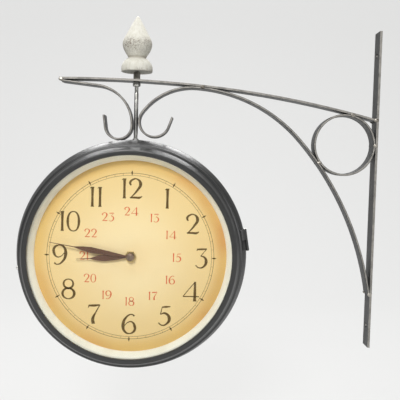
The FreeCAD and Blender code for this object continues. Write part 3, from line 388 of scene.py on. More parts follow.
def new_object(bm, name, finish=None):
    """Make an object of a mesh; one with a finish is shaded smooth."""
    mesh = bpy.data.meshes.new(name)
    bm.to_mesh(mesh)
    bm.free()
    if finish:
        mesh.polygons.foreach_set("use_smooth", [True] * len(mesh.polygons))
        mesh.materials.append(finish)
    thing = bpy.data.objects.new(name, mesh)
    scene.collection.objects.link(thing)
    return thing


def add_piece(bm, name, body, finish, replaces=(), crisp=35, even=False):
    """Make an object of a mesh, shade it, tie it to its body and hide the solids it replaces.
    """
    piece = new_object(bm, name, finish)
    piece.data.set_sharp_from_angle(angle=math.radians(crisp))
    if even:
        weigh = piece.modifiers.new("even shine", "WEIGHTED_NORMAL")
        weigh.keep_sharp = True
    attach(piece, body)
    if replaces:
        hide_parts(*replaces)
    return piece


def second_finish(piece, finish, chosen):
    """Give the faces whose middle passes the test a finish of their own."""
    piece.data.materials.append(finish)
    for face in piece.data.polygons:
        if chosen(face.center):
            face.material_index = 1


def middle(node):
    low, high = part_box(node)
    return (low + high) / 2


def outward(bm):
    bmesh.ops.remove_doubles(bm, verts=bm.verts, dist=1e-7)
    bmesh.ops.recalc_face_normals(bm, faces=bm.faces)
    return bm


def mark_edges(bm, faces):
    """Leave the mark that the paints read on edge faces, which turn pale as worn paint and, on
    the bracket, as painted highlight.
    """
    layer = bm.faces.layers.float.get("edge") or bm.faces.layers.float.new("edge")
    for face in faces:
        if face.is_valid:
            face[layer] = 1.0


# %% Turn a piece on the lathe
TIP = {"X": Matrix.Rotation(-math.pi / 2, 4, "Z"), "Y": Matrix.Identity(4),
       "Z": Matrix.Rotation(math.pi / 2, 4, "X")}


def lathe(profile, soft=0.25, steps=192, closed=True, axis="Y"):
    """Spin a profile of (radius, along the axis) in millimetres about the axis."""
    bm = bmesh.new()
    corners = [bm.verts.new(Vector((radius, along, 0)) * MM) for radius, along in profile]
    for first, second in zip(corners, corners[1:]):
        bm.edges.new((first, second))
    if closed:
        bm.edges.new((corners[-1], corners[0]))
    if soft:
        inner = [v for v in corners if v.co.x > 1e-6 and len(v.link_edges) == 2]
        bmesh.ops.bevel(bm, geom=inner, offset=soft * MM, offset_type="OFFSET", segments=2,
                        profile=0.5, affect="VERTICES", material=-1, clamp_overlap=True)
    bmesh.ops.spin(bm, geom=bm.verts[:] + bm.edges[:], cent=(0, 0, 0), axis=(0, 1, 0),
                   angle=math.tau, steps=steps, use_merge=True)
    return put(outward(bm), TIP[axis])


def deep(profile):
    """Depths behind the front face of the door become places along Y."""
    return [(radius, depth - HALF_DEPTH) for radius, depth in profile]


# %% Soften the edges of a solid
def soften(bm, width, angle=30, segments=2):
    sharp = [e for e in bm.edges
             if len(e.link_faces) == 2 and e.calc_face_angle(0) > math.radians(angle)]
    made = bmesh.ops.bevel(bm, geom=sharp, offset=width * MM, offset_type="OFFSET",
                           segments=segments, profile=0.5, affect="EDGES", material=-1,
                           clamp_overlap=True)
    mark_edges(bm, made["faces"])
    return bm


def copy_solid(node):
    """A copy of a solid's mesh, with its loose triangles merged into whole faces."""
    bm = bmesh.new()
    bm.from_mesh(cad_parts[node].data)
    bmesh.ops.remove_doubles(bm, verts=bm.verts, dist=2e-6)
    bmesh.ops.dissolve_limit(bm, angle_limit=math.radians(0.15), use_dissolve_boundaries=False,
                             verts=bm.verts, edges=bm.edges)
    return bm


def softened(node, body, finish, width, angle=30, segments=2, rims=False):
    bm = soften(copy_solid(node), width, angle, segments)
    if rims:
        bm.normal_update()
        # Rims facing front and back turn pale grey: partly wear, partly a painted highlight.
        mark_edges(bm, [face for face in bm.faces if abs(face.normal.y) > 0.9])
    return add_piece(bm, node + "_soft", body, finish, (node,), even=True)


# %% [markdown]
# ## The bracket
# Flat iron is bent cold around a former, so a strip keeps one thickness and its corners are
# rounded by the rolling mill. The imported solids already follow the bends. A round bevel
# along every edge gives the thin light lines that make the strips read as iron. The narrow
# rims that face front and back carry the mark too: their pale grey is partly paint rubbed
# through by hands and cloths, and partly a painted highlight for the light those rims catch.

# %% Strips, plate and their edges
STRIPS = ("wall_plate", "arm_strip", "brace_and_right_scroll", "left_scroll", "ring_strip")
for node in STRIPS:
    piece = softened(node, "bracket", bracket_paint, 0.7, segments=3,
                     rims=True)
    print(node, len(piece.data.polygons), "faces")

# %% [markdown]
# ## Weld beads
# Where two strips touch, a welder ran a short bead on both edges, and the paint is thin
# there. A bead is a flattened ball that noise has pushed about: lumpy, never twice alike.

# %% Beads on both edges of the strips
def weld_spots():
    """The middle of each packed button, read from the solids themselves."""
    bm = bmesh.new()
    bm.from_mesh(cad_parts["bracket_welds"].data)
    bmesh.ops.remove_doubles(bm, verts=bm.verts, dist=2e-6)
    spots = []
    waiting = set(bm.verts)
    for start in bm.verts:
        if start not in waiting:
            continue
        waiting.remove(start)
        island = [start]
        for vert in island:
            for edge in vert.link_edges:
                other = edge.other_vert(vert)
                if other in waiting:
                    waiting.remove(other)
                    island.append(other)
        spots.append(sum((v.co for v in island), Vector()) / len(island))
    bm.free()
    return sorted(spots, key=lambda spot: (spot.y > 0, round(spot.x / MM, 1),
                                           round(spot.z / MM, 1)))


STRIP_EDGE = 8.45 * MM
beads = bmesh.new()
spots = weld_spots()
for number, spot in enumerate(spots):
    made = bmesh.ops.create_icosphere(beads, subdivisions=4, radius=2.1 * MM)
    for vert in made["verts"]:
        push = noise.noise(vert.co * 700 + Vector((number * 7.1, 0, 0)))
        vert.co += vert.co.normalized() * push * 0.5 * MM
    squash = Matrix.Diagonal((1.15, 0.42, 0.9))
    bmesh.ops.transform(beads, matrix=squash.to_4x4(), verts=made["verts"])
    bmesh.ops.translate(beads, vec=(spot.x, math.copysign(STRIP_EDGE, spot.y), spot.z),
                        verts=made["verts"])
bead_piece = add_piece(beads, "weld_beads", "bracket", steel,
                       ("bracket_welds",), crisp=60)
print("welds:", len(bead_piece.data.polygons), "faces on", len(spots), "beads")

# %% [markdown]
# ## Nuts, washers and the hanging rod
# A real nut is a hexagon whose corners are turned off by a cone, which leaves the curved
# bright lines at both ends. So a hexagonal bar meets a turned blank, and a Boolean keeps
# what they share. The thread is a V that spins and climbs by one pitch in each turn.


# %% Hexagonal nuts
def raise_outline(bm, height):
    """Push the one flat face up to its height, and return the corners that moved."""
    lifted = bmesh.ops.extrude_face_region(bm, geom=bm.faces[:])
    top = [item for item in lifted["geom"] if isinstance(item, bmesh.types.BMVert)]
    bmesh.ops.translate(bm, vec=(0, 0, height * MM), verts=top)
    return top


def turn_off(piece, cutter_mesh, operation="DIFFERENCE"):
    """Apply a Boolean at once, and throw the cutter away."""
    cutter = new_object(cutter_mesh, piece.name + "_cutter")
    step = piece.modifiers.new("cut", "BOOLEAN")
    step.operation = operation
    step.object = cutter
    step.solver = "EXACT"
    bpy.context.view_layer.update()
    evaluated = piece.evaluated_get(bpy.context.evaluated_depsgraph_get())
    mesh = bpy.data.meshes.new_from_object(evaluated)
    piece.modifiers.remove(step)
    old = piece.data
    piece.data = mesh
    bpy.data.meshes.remove(old)
    bpy.data.objects.remove(cutter)


def hex_nut(name, flats, height, bore, place, body, finish, replaces=()):
    """A nut whose foot is at the origin of its place and whose axis is Z."""
    corner = flats / math.sqrt(3)
    bar = bmesh.new()
    bmesh.ops.create_circle(bar, segments=6, radius=corner * MM, cap_ends=True)
    put(bar, Matrix.Rotation(math.pi / 6, 4, "Z"))
    raise_outline(bar, height)
    slope = (corner - flats / 2) * 0.9
    blank = lathe([(bore, -0.01), (flats / 2 - 0.05, -0.01), (corner + 0.05, slope),
                   (corner + 0.05, height - slope), (flats / 2 - 0.05, height + 0.01),
                   (bore, height + 0.01)], 0.0, 48, axis="Z")
    piece = add_piece(put(outward(bar), place), name, body, finish, replaces, crisp=20)
    turn_off(piece, put(blank, place), "INTERSECT")


def upright(z_mm):
    return Matrix.Translation((CLOCK.x, 0, z_mm * MM))


ROD = 2.2
NUT_BORE = ROD + 0.03
for node, flats, height_mm, finish in (("arm_upper_nut", 6.2, 8.0, steel),
                                       ("arm_lower_nut", 7.0, 4.5, zinc)):
    foot_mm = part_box(node)[0].z / MM
    hex_nut(node + "_turned", flats, height_mm, NUT_BORE, upright(foot_mm), "bracket",
            finish, (node,))
CASE_NUT = 2.4
low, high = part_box("case_nuts")
for name, foot_mm, solids in (("case_nut_outer", high.z / MM - CASE_NUT, ("case_nuts",)),
                              ("case_nut_inner", low.z / MM, ())):
    hex_nut(name, 5.5, CASE_NUT, NUT_BORE, upright(foot_mm), "bracket", zinc, solids)
WASHER = 0.8
WASHER_PROFILE = [(2.28, 0.0), (4.2, 0.0), (4.2, WASHER), (2.28, WASHER)]
low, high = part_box("case_washers")
for name, foot_mm, solids in (("washer_inner", low.z / MM, ("case_washers",)),
                              ("washer_outer", high.z / MM - WASHER, ())):
    bm = put(lathe(WASHER_PROFILE, 0.12, 72, axis="Z"), upright(foot_mm))
    add_piece(bm, name, "bracket", zinc, solids)


# %% The rod and its threads
def thread(outer, pitch, start, turns, steps=20):
    """A V thread: a pitch long profile that climbs one pitch a turn."""
    bm = bmesh.new()
    root = outer - pitch * 0.45
    points = [(outer, 0.0), (outer, 0.12), (root, 0.5), (root, 0.6), (outer, 1.0)]
    verts = [bm.verts.new(Vector((radius, 0, start + share * pitch)) * MM)
             for radius, share in points]
    for first, second in zip(verts, verts[1:]):
        bm.edges.new((first, second))
    bmesh.ops.spin(bm, geom=bm.verts[:] + bm.edges[:], cent=(0, 0, 0), axis=(0, 0, 1),
                   dvec=(0, 0, pitch / steps * MM), angle=math.tau * turns,
                   steps=int(steps * turns), use_merge=False)
    bmesh.ops.remove_doubles(bm, verts=bm.verts, dist=2e-6)
    bmesh.ops.holes_fill(bm, edges=[e for e in bm.edges if e.is_boundary])
    bmesh.ops.recalc_face_normals(bm, faces=bm.faces)
    return bm


SHANK = (54.5, 99.0)
rod = lathe([(0, SHANK[0]), (ROD - 0.18, SHANK[0]), (ROD, SHANK[0] + 0.5),
             (ROD, SHANK[1] - 0.5), (ROD - 0.18, SHANK[1]), (0, SHANK[1])],
            0.0, 48, closed=False, axis="Z")
add_piece(put(rod, upright(0)), "rod_shank", "bracket", zinc, ("hanging_rod",))
foot_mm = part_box("hanging_rod")[0].z / MM
for name, start, turns in (("rod_thread_case", foot_mm, 20),
                           ("rod_thread_arm", SHANK[1] - 1.0, 45)):
    bm = put(thread(ROD - 0.02, 0.8, start, turns), upright(0))
    piece = add_piece(bm, name, "bracket", zinc)
    print(name, len(piece.data.polygons), "faces")

# %% [markdown]
# ## The finial
# Turned wood has full curves and one sharp neck. Some two dozen rings are spun, and a
# subdivision surface draws the curve between them. Two rings close together keep an edge
# crisp, which is how the foot and the neck stay sharp.

# %% Turn the finial
FINIAL_PROFILE = [
    (2.25, 13.0), (2.25, 0.0), (15.8, 0.0), (16.4, 0.2), (16.6, 1.0), (16.6, 4.9),
    (16.3, 6.4), (15.5, 8.4), (14.1, 10.6), (12.2, 12.6), (10.0, 14.3), (9.25, 14.7),
    (9.2, 15.1), (9.9, 16.2), (11.9, 19.2), (13.9, 22.6), (15.3, 26.0), (15.8, 29.2),
    (15.3, 32.3), (13.9, 35.4), (11.3, 40.1), (8.6, 45.2), (5.7, 50.4), (3.2, 54.9),
    (1.6, 57.4), (0.7, 58.3), (0.0, 58.5)]
bm = put(lathe(FINIAL_PROFILE, 0.0, 48, closed=False, axis="Z"), Matrix.Translation(FINIAL))
finial = add_piece(bm, "finial_turned", "bracket", finial_wood,
                   ("finial",), crisp=60)
smooth = finial.modifiers.new("full curves", "SUBSURF")
smooth.levels = smooth.render_levels = 2
print("finial", len(finial.data.polygons), "faces before subdivision")

# %% [markdown]
# ## The case band and the doors
# The metal is spun sheet, and the glass, the cream ring and the dial are round too, so each
# is one profile about the clock's axis.
# The door has a stepped moulding, and every step gets a small radius that draws a bright
# line right round the clock.

# %% The case band
SKIRT, SEAM = 115.2, 17.0
OUTSIDE = [(SKIRT, SEAM), (119.6, 24.2), (120.0, 25.0), (120.0, 28.2), (118.8, 29.2)]
INSIDE = [(116.6, 28.2), (112.2, 19.2), (112.2, SEAM)]
far = 2 * HALF_DEPTH
band_profile = (OUTSIDE + [(r, far - d) for r, d in reversed(OUTSIDE)]
                + [(r, far - d) for r, d in reversed(INSIDE)] + INSIDE)
bm = put(lathe(deep(band_profile), 0.45, 256), side_frame("front"))
band_piece = add_piece(bm, "case_band_spun", "clock_case", case_paint,
                       ("case_band",))
print("band", len(band_piece.data.polygons), "faces")

LATCH = math.radians(187)
TONGUE = [(110.25, 12.1), (112.85, 12.1), (112.85, 19.2), (110.25, 19.2)]
for side in SIDES:
    bm = bmesh.new()
    face = bm.faces.new([bm.verts.new(Vector((r, d, 0)) * MM) for r, d in deep(TONGUE)])
    half_angle = 4.0 / 111.5
    bmesh.ops.rotate(bm, cent=(0, 0, 0), verts=bm.verts,
                     matrix=Matrix.Rotation(-(LATCH - half_angle), 3, "Y"))
    bmesh.ops.spin(bm, geom=[face], cent=(0, 0, 0), axis=(0, 1, 0), angle=-2 * half_angle,
                   steps=8, use_duplicate=False)
    put(soften(outward(bm), 0.2, 50), side_frame(side))
    add_piece(bm, side + "_screw_tongue", "clock_case", case_paint)

# %% Door frames, cream surrounds, glass and dials
BEZEL = [
    (103.5, 0.0), (108.1, 0.0), (108.8, 0.7), (109.6, 2.5), (110.3, 4.4), (111.5, 6.6),
    (112.0, 7.4), (112.3, 8.2), (114.3, 8.9), (115.1, 9.9), (SKIRT, 11.0), (SKIRT, 16.5),
    (113.2, 16.5), (113.2, 9.6), (107.7, 9.5), (107.7, 2.5), (103.5, 2.5)]
GLASS = [(0.0, 2.6), (107.1, 2.6), (107.1, 5.0), (0.0, 5.0)]
FACE, BACK = 12.8, 13.8
SURROUND = [
    (103.3, 5.1), (107.6, 5.1), (107.6, FACE), (98.5, FACE), (98.5, 12.3), (99.6, 10.2)]
DIAL = [(4.1, FACE), (106.0, FACE), (106.0, BACK), (4.1, BACK)]


def notch_cutter(side):
    """The slot in the door's skirt that slides over the closing screw."""
    bm = bmesh.new()
    block(bm, (6.0, 9.0, 3.0), (SKIRT, SEAM - HALF_DEPTH, 0))
    return put(bm, side_frame(side) @ Matrix.Rotation(-LATCH, 4, "Y"))


def turned_piece(side, name, profile, soft, finish, closed=True, body="door", steps=192):
    bm = put(lathe(deep(profile), soft, steps, closed), side_frame(side))
    return add_piece(bm, f"{side}_{name}_turned", f"{side}_{body}", finish,
                     (f"{side}_{name}",))


for side in SIDES:
    door = turned_piece(side, "bezel", BEZEL, 0.3, case_paint, steps=256)
    turn_off(door, notch_cutter(side))
    turned_piece(side, "glass", GLASS, 0.3, clear_glass, closed=False)
    turned_piece(side, "dial_surround", SURROUND, 0.2, cream_plastic)
    dial = turned_piece(side, "dial", DIAL, 0.0, paper)
    second_finish(dial, bare_card, lambda at: abs(at.y) < (HALF_DEPTH - BACK + 0.1) * MM)
    print(side, "door frame", len(door.data.polygons), "faces")

# %% [markdown]
# ## The print on the dial
# The numerals are drawn as a pen draws them: each stroke is a curve whose points carry half
# the width of the nib, and a straight profile swept along it leaves a ribbon that swells
# and thins. They are upright all the way round, as on the real dial. The middle of the
# dial carries a plain second ring of hours, from 13 to 24, in red.

# %% Numerals as pen strokes
# Each stroke is a list of (across, up, half width); a stroke of "line" has no curve.
STROKES = {
    "0": (0.64, [("loop", [(0.32, 0.99, 0.024), (0.60, 0.5, 0.066), (0.32, 0.01, 0.024),
                           (0.04, 0.5, 0.066)])]),
    "1": (0.28, [("line", [(0.15, 1.0, 0.090), (0.15, 0.90, 0.068), (0.15, 0.5, 0.056),
                           (0.15, 0.08, 0.064), (0.15, 0.0, 0.088)]),
                 ("line", [(0.02, 0.93, 0.012), (0.11, 0.975, 0.030)])]),
    "2": (0.66, [("curve", [(0.10, 0.66, 0.035), (0.05, 0.80, 0.060), (0.20, 0.96, 0.040),
                            (0.38, 0.985, 0.030), (0.57, 0.76, 0.080), (0.40, 0.40, 0.050),
                            (0.08, 0.03, 0.022)]),
                 ("curve", [(0.05, 0.045, 0.035), (0.30, 0.055, 0.050), (0.52, 0.05, 0.055),
                            (0.66, 0.12, 0.018)])]),
    "3": (0.62, [("line", [(0.08, 0.87, 0.014), (0.11, 0.94, 0.045), (0.34, 0.955, 0.048),
                           (0.58, 0.97, 0.030)]),
                 ("line", [(0.57, 0.96, 0.016), (0.28, 0.60, 0.020)]),
                 ("curve", [(0.28, 0.60, 0.020), (0.45, 0.56, 0.045), (0.56, 0.33, 0.080),
                            (0.42, 0.06, 0.045), (0.20, 0.01, 0.028), (0.03, 0.13, 0.030)])]),
    "4": (0.86, [("line", [(0.62, 0.98, 0.020), (0.03, 0.25, 0.020)]),
                 ("line", [(0.03, 0.25, 0.026), (0.84, 0.25, 0.026)]),
                 ("line", [(0.63, 1.0, 0.050), (0.63, 0.5, 0.066), (0.63, 0.08, 0.074),
                           (0.63, 0.0, 0.098)])]),
    "5": (0.66, [("line", [(0.22, 0.93, 0.030), (0.40, 0.945, 0.050), (0.62, 0.96, 0.022)]),
                 ("line", [(0.21, 0.95, 0.022), (0.12, 0.55, 0.026)]),
                 ("curve", [(0.12, 0.55, 0.018), (0.34, 0.62, 0.050), (0.57, 0.36, 0.084),
                            (0.42, 0.06, 0.045), (0.20, 0.0, 0.030), (0.02, 0.12, 0.030)])]),
    "6": (0.72, [("curve", [(0.62, 0.90, 0.042), (0.48, 0.98, 0.026), (0.20, 0.82, 0.050),
                            (0.05, 0.42, 0.082), (0.16, 0.08, 0.055), (0.38, 0.0, 0.028),
                            (0.62, 0.14, 0.060), (0.64, 0.38, 0.070), (0.48, 0.60, 0.034),
                            (0.28, 0.56, 0.022), (0.10, 0.36, 0.020)])]),
    "7": (0.66, [("line", [(0.03, 0.82, 0.016), (0.07, 0.93, 0.050), (0.32, 0.93, 0.062),
                           (0.62, 0.97, 0.034)]),
                 ("curve", [(0.62, 0.97, 0.020), (0.42, 0.60, 0.034), (0.27, 0.26, 0.076),
                            (0.30, 0.0, 0.088)])]),
    "8": (0.70, [("loop", [(0.34, 0.995, 0.026), (0.58, 0.78, 0.048), (0.34, 0.53, 0.052),
                           (0.10, 0.78, 0.048)]),
                 ("loop", [(0.34, 0.54, 0.040), (0.64, 0.27, 0.072), (0.35, 0.0, 0.028),
                           (0.05, 0.27, 0.060)])]),
    "9": (0.72, [("curve", [(0.10, 0.10, 0.042), (0.24, 0.02, 0.026), (0.52, 0.18, 0.050),
                            (0.67, 0.58, 0.082), (0.56, 0.92, 0.055), (0.34, 1.0, 0.028),
                            (0.10, 0.86, 0.060), (0.08, 0.62, 0.070), (0.24, 0.40, 0.034),
                            (0.44, 0.44, 0.022), (0.62, 0.64, 0.020)])]),
}


def nib_profile():
    """A straight line, two units wide, that is swept along every stroke."""
    data = bpy.data.curves.new("nib", "CURVE")
    spline = data.splines.new("POLY")
    spline.points.add(1)
    spline.points[0].co = (-1, 0, 0, 1)
    spline.points[1].co = (1, 0, 0, 1)
    nib = bpy.data.objects.new("nib", data)
    scene.collection.objects.link(nib)
    return nib


nib = nib_profile()


def write_figure(bm, figure, left, foot, height):
    """Write one figure in the XY plane and return how far it reaches to the right."""
    width, strokes = STROKES[figure]
    data = bpy.data.curves.new("pen", "CURVE")
    data.dimensions = "3D"
    data.resolution_u = 10
    data.bevel_mode = "OBJECT"
    data.bevel_object = nib
    for kind, points in strokes:
        spline = data.splines.new("BEZIER")
        spline.bezier_points.add(len(points) - 1)
        spline.use_cyclic_u = kind == "loop"
        for point, (across, rise, half) in zip(spline.bezier_points, points):
            point.co = (left + across * height, foot + rise * height, 0)
            point.radius = half * height
            style = "VECTOR" if kind == "line" else "AUTO"
            point.handle_left_type = point.handle_right_type = style
    pen = bpy.data.objects.new("pen", data)
    scene.collection.objects.link(pen)
    bpy.context.view_layer.update()
    evaluated = pen.evaluated_get(bpy.context.evaluated_depsgraph_get())
    mesh = bpy.data.meshes.new_from_object(evaluated)
    bm.from_mesh(mesh)
    bpy.data.objects.remove(pen)
    bpy.data.meshes.remove(mesh)
    return left + width * height


def write_number(bm, number, centre, height, gap=0.10):
    """Write a number with its middle at the centre, on the dial as it is seen."""
    figures = str(number)
    wide = sum(STROKES[f][0] for f in figures) + gap * (len(figures) - 1)
    left = -wide * height / 2
    sheet = bmesh.new()
    for figure in figures:
        left = write_figure(sheet, figure, left, -height / 2, height) + gap * height
    bmesh.ops.translate(sheet, vec=(centre[0], centre[1], 0), verts=sheet.verts)
    mesh = bpy.data.meshes.new("number")
    sheet.to_mesh(mesh)
    sheet.free()
    bm.from_mesh(mesh)
    bpy.data.meshes.remove(mesh)


def print_layer(bm, side, name, finish, lift_mm, thick_mm=0.03):
    """Lay flat print on the dial: the sheet is drawn in XY and stands on XZ."""
    bmesh.ops.remove_doubles(bm, verts=bm.verts, dist=1e-7)
    for face in bm.faces:
        if face.normal.z < 0:
            face.normal_flip()
    bmesh.ops.solidify(bm, geom=bm.faces[:], thickness=thick_mm * MM)
    stand = Matrix.Rotation(math.pi / 2, 4, "X")
    depth = Matrix.Translation((0, (FACE - lift_mm - HALF_DEPTH) * MM, 0))
    put(bm, side_frame(side) @ depth @ stand)
    return add_piece(bm, f"{side}_{name}", f"{side}_door", finish)


# %% The minute track
def ring_sheet(bm, radius, half_width, segments=240):
    inner = bmesh.ops.create_circle(bm, segments=segments, radius=(radius - half_width) * MM)
    outer = bmesh.ops.create_circle(bm, segments=segments, radius=(radius + half_width) * MM)
    rims = dict.fromkeys(e for v in inner["verts"] + outer["verts"] for e in v.link_edges)
    bmesh.ops.bridge_loops(bm, edges=list(rims))


def tick_sheet(bm, angle, low, high, half_width, pointed):
    """A tick across the track; a pointed one is a small diamond."""
    waist = (low + high) / 2
    corners = ((low, -half_width), (low, half_width), (high, half_width), (high, -half_width))
    if pointed:
        corners = ((low, 0), (waist, half_width), (high, 0), (waist, -half_width))
    turn = Matrix.Rotation(-angle, 3, "Z")
    bm.faces.new([bm.verts.new(turn @ Vector((across, radius, 0)) * MM)
                  for radius, across in corners])


def numeral_place(hour, radius_x, radius_y):
    angle = math.tau * hour / 12
    return radius_x * MM * math.sin(angle), radius_y * MM * math.cos(angle)


for side in SIDES:
    track = bmesh.new()
    ring_sheet(track, 85.6, 0.20)
    ring_sheet(track, 83.2, 0.15)
    for minute in range(60):
        angle = math.tau * minute / 60
        if minute % 5:
            tick_sheet(track, angle, 83.3, 85.5, 0.10, False)
        else:
            tick_sheet(track, angle, 83.0, 88.6, 0.95, True)
    print_layer(track, side, "minute_track", brown_ink, 0.045)
    hours = bmesh.new()
    for hour in range(1, 13):
        write_number(hours, hour, numeral_place(hour, 72.6, 69.8), 20.4 * MM)
    piece = print_layer(hours, side, "hour_numerals", brown_ink, 0.05)
    evening = bmesh.new()
    for hour in range(1, 13):
        write_number(evening, hour + 12, numeral_place(hour, 47.5, 46.5), 8.6 * MM, 0.14)
    print_layer(evening, side, "evening_numerals", red_ink, 0.05)
    print(side, "numerals", len(piece.data.polygons), "faces")
bpy.data.objects.remove(nib)

# %% [markdown]
# ## Hands and their cap
# The hands are stamped from thin sheet and enamelled dark brown. Their outline comes from
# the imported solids, a fine bevel breaks the stamped edge, and a turned cap with a soft dome
# holds them. The nut behind them is brass, and its rim shows as a paler ring.

# %% Hands, cap and nut
CAP_TOP = 6.15
CAP = [(0.0, CAP_TOP), (1.6, CAP_TOP), (3.1, 6.45), (4.05, 7.05), (4.2, 7.6), (1.5, 7.65),
       (1.5, 7.2), (0.0, 7.2)]
for side in SIDES:
    for name in ("hour", "minute"):
        softened(f"{side}_{name}_hand", f"{side}_{name}", hand_paint, 0.10)
    low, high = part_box(f"{side}_hand_cap")
    shift = HALF_DEPTH - CAP_TOP - max(abs(low.y), abs(high.y)) / MM
    cap = [(r, d + shift) for r, d in CAP]
    turned_piece(side, "hand_cap", cap, 0.12, cap_metal, closed=False,
                 body="minute", steps=72)
    stand = side_frame(side) @ Matrix.Rotation(-math.pi / 2, 4, "X")
    depth = Matrix.Translation((0, 0, -(HALF_DEPTH - 10.8) * MM))
    hex_nut(side + "_shaft_nut_turned", 10.6, 2.0, 3.98, stand @ depth, side + "_door",
            brass, (side + "_shaft_nut",))

# %% [markdown]
# ## Hinge and closing screw
# The hinge is two small leaves with knuckles round a pin whose ends are peened to domes.
# The closing screw has a slotted cheese head with a coarse knurl for the fingers.

# %% Hinges
PIN = [(0.0, -11.75), (0.9, -11.72), (1.5, -11.4), (1.6, -11.1), (0.8, -11.1), (0.8, 11.1),
       (1.6, 11.1), (1.5, 11.4), (0.9, 11.72), (0.0, 11.75)]
HINGE = math.radians(9.5)
for side in SIDES:
    for leaf, body in (("door", f"{side}_door"), ("case", "clock_case")):
        softened(f"{side}_hinge_{leaf}_leaf", body, case_paint, 0.15, 50)
    seat = Matrix.Translation(Vector((120.4, SEAM - HALF_DEPTH, 0)) * MM)
    turn = Matrix.Rotation(-HINGE, 4, "Y")
    bm = put(lathe(PIN, 0.0, 40, closed=False, axis="Z"), side_frame(side) @ turn @ seat)
    add_piece(bm, side + "_hinge_pin_turned", "clock_case", zinc,
              (side + "_hinge_pin",))


# %% Knurled heads and closing screws
def knurled(radius, height, points, every, share, insets):
    """A round head: every so many points of its rim lie deeper, and its crown is inset."""
    bm = bmesh.new()
    ring = bmesh.ops.create_circle(bm, segments=points, radius=radius * MM, cap_ends=True)
    for number, vert in enumerate(ring["verts"]):
        if number % every == every - 1:
            vert.co *= share
    top = raise_outline(bm, height)
    crown = [f for f in bm.faces if all(v in top for v in f.verts)]
    for width, rise in insets:
        bmesh.ops.inset_region(bm, faces=crown, thickness=width * MM, depth=rise * MM)
    return bm


def closing_screw(side):
    bm = knurled(1.78, 2.0, 48, 2, 0.93, [(0.25, 0.25)])
    shank = bmesh.ops.create_cone(bm, cap_ends=True, segments=32, radius1=1.2 * MM,
                                  radius2=1.2 * MM, depth=7.7 * MM)
    bmesh.ops.translate(bm, vec=(0, 0, -3.85 * MM), verts=shank["verts"])
    bmesh.ops.recalc_face_normals(bm, faces=bm.faces)
    place = (side_frame(side) @ Matrix.Rotation(-LATCH, 4, "Y")
             @ Matrix.Translation(Vector((115.42, 14.0 - HALF_DEPTH, 0)) * MM)
             @ Matrix.Rotation(math.pi / 2, 4, "Y"))
    piece = add_piece(put(bm, place), side + "_closing_screw_head", side + "_closing_screw",
                      zinc, (side + "_latch_screw",), crisp=25)
    slot = bmesh.new()
    block(slot, (0.6, 5.0, 1.6), (0, 0, 2.3))
    turn_off(piece, put(slot, place @ Matrix.Rotation(0.6, 4, "Z")))
    return piece


for side in SIDES:
    print(side, "screw", len(closing_screw(side).data.polygons), "faces")

# %% [markdown]
# ## The movements
# Behind each dial sits a battery movement. It is only seen with a door open, but then it is
# seen close: a ribbed black housing and cover, a penlight cell in its bay, a coil of copper
# wire beside a green board, and a knurled knob that sets the hands.

# %% Housings, covers and small parts
SIDE_RIB, BACK_RIB = (1.2, 10.0, 0.7), (22.0, 0.5, 1.0)
for side in SIDES:
    for part, width in (("case", 0.25), ("cover", 0.2)):
        softened(f"{side}_movement_{part}", f"{side}_door", black_plastic,
                 width)
    ribs = bmesh.new()
    for rib in range(-4, 5):
        for wall in (28.3, -28.3):
            block(ribs, SIDE_RIB, (rib * 6.0, 21.5 - HALF_DEPTH, wall))
    for height_mm in (24.0, 20.0):
        block(ribs, BACK_RIB, (0, 30.0 - HALF_DEPTH, height_mm))
    put(soften(ribs, 0.15, 50), side_frame(side))
    add_piece(ribs, f"{side}_movement_ribs", f"{side}_door", black_plastic)

# %% Batteries, coils, boards and knobs
CELL = [(0.0, -24.75), (6.2, -24.75), (6.9, -24.3), (7.0, -23.9), (7.0, 22.2), (6.6, 23.1),
        (5.6, 23.7), (2.75, 23.8), (2.7, 24.6), (2.4, 24.75), (0.0, 24.75)]
BOBBIN, FLANGE = 9.0, 8.0
TURNS = 32
winding = []
for wire in range(TURNS):
    along = (wire + 0.5) * 2 * FLANGE / TURNS - FLANGE
    winding += [(3.15, along - FLANGE / TURNS), (3.45, along)]
SPOOL = ([(0.0, -BOBBIN), (4.2, -BOBBIN), (4.2, -FLANGE)] + winding
         + [(3.15, FLANGE), (4.2, FLANGE), (4.2, BOBBIN), (0.0, BOBBIN)])
for side in SIDES:
    at = middle(f"{side}_battery")
    bm = put(lathe(CELL, 0.0, 64, closed=False, axis="X"), side_frame(side))
    put(bm, Matrix.Translation((0, at.y, at.z - CLOCK.z)))
    cell = add_piece(bm, side + "_battery_cell", side + "_door", foil,
                     (side + "_battery",))
    flip = MM if side == "front" else -MM
    second_finish(cell, zinc, lambda at: not -24.4 < (at.x - CLOCK.x) / flip < 23.2)
    at = middle(f"{side}_coil")
    bm = put(lathe(SPOOL, 0.0, 48, closed=False, axis="X"),
             Matrix.Translation((CLOCK.x, at.y, at.z)))
    coil = add_piece(bm, side + "_coil_wound", side + "_door", copper,
                     (side + "_coil",))
    second_finish(coil, black_plastic, lambda at: abs(at.x - CLOCK.x) > (FLANGE - 0.05) * MM)
    softened(f"{side}_circuit_board", f"{side}_door", board_green, 0.1)
    softened(f"{side}_battery_contacts", f"{side}_door", zinc, 0.08)
    knob = knurled(4.2, 3.7, 72, 3, 0.95, [(0.35, 0.3), (1.2, -0.4)])
    bmesh.ops.recalc_face_normals(knob, faces=knob.faces)
    at = middle(f"{side}_set_knob")
    outer = math.copysign(max(abs(corner.y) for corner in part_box(f"{side}_set_knob")), at.y)
    stand = Matrix.Rotation(math.copysign(math.pi / 2, outer), 4, "X")
    put(knob, Matrix.Translation((at.x, outer, at.z)) @ stand)
    add_piece(knob, side + "_set_knob_ribbed", side + "_intermediate",
              black_plastic, (side + "_set_knob",), crisp=25)
    for node in ("intermediate_wheel", "hour_wheel"):
        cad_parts[f"{side}_{node}"].material_slots[0].material = gear_plastic
    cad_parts[f"{side}_minute_arbor"].material_slots[0].material = brass

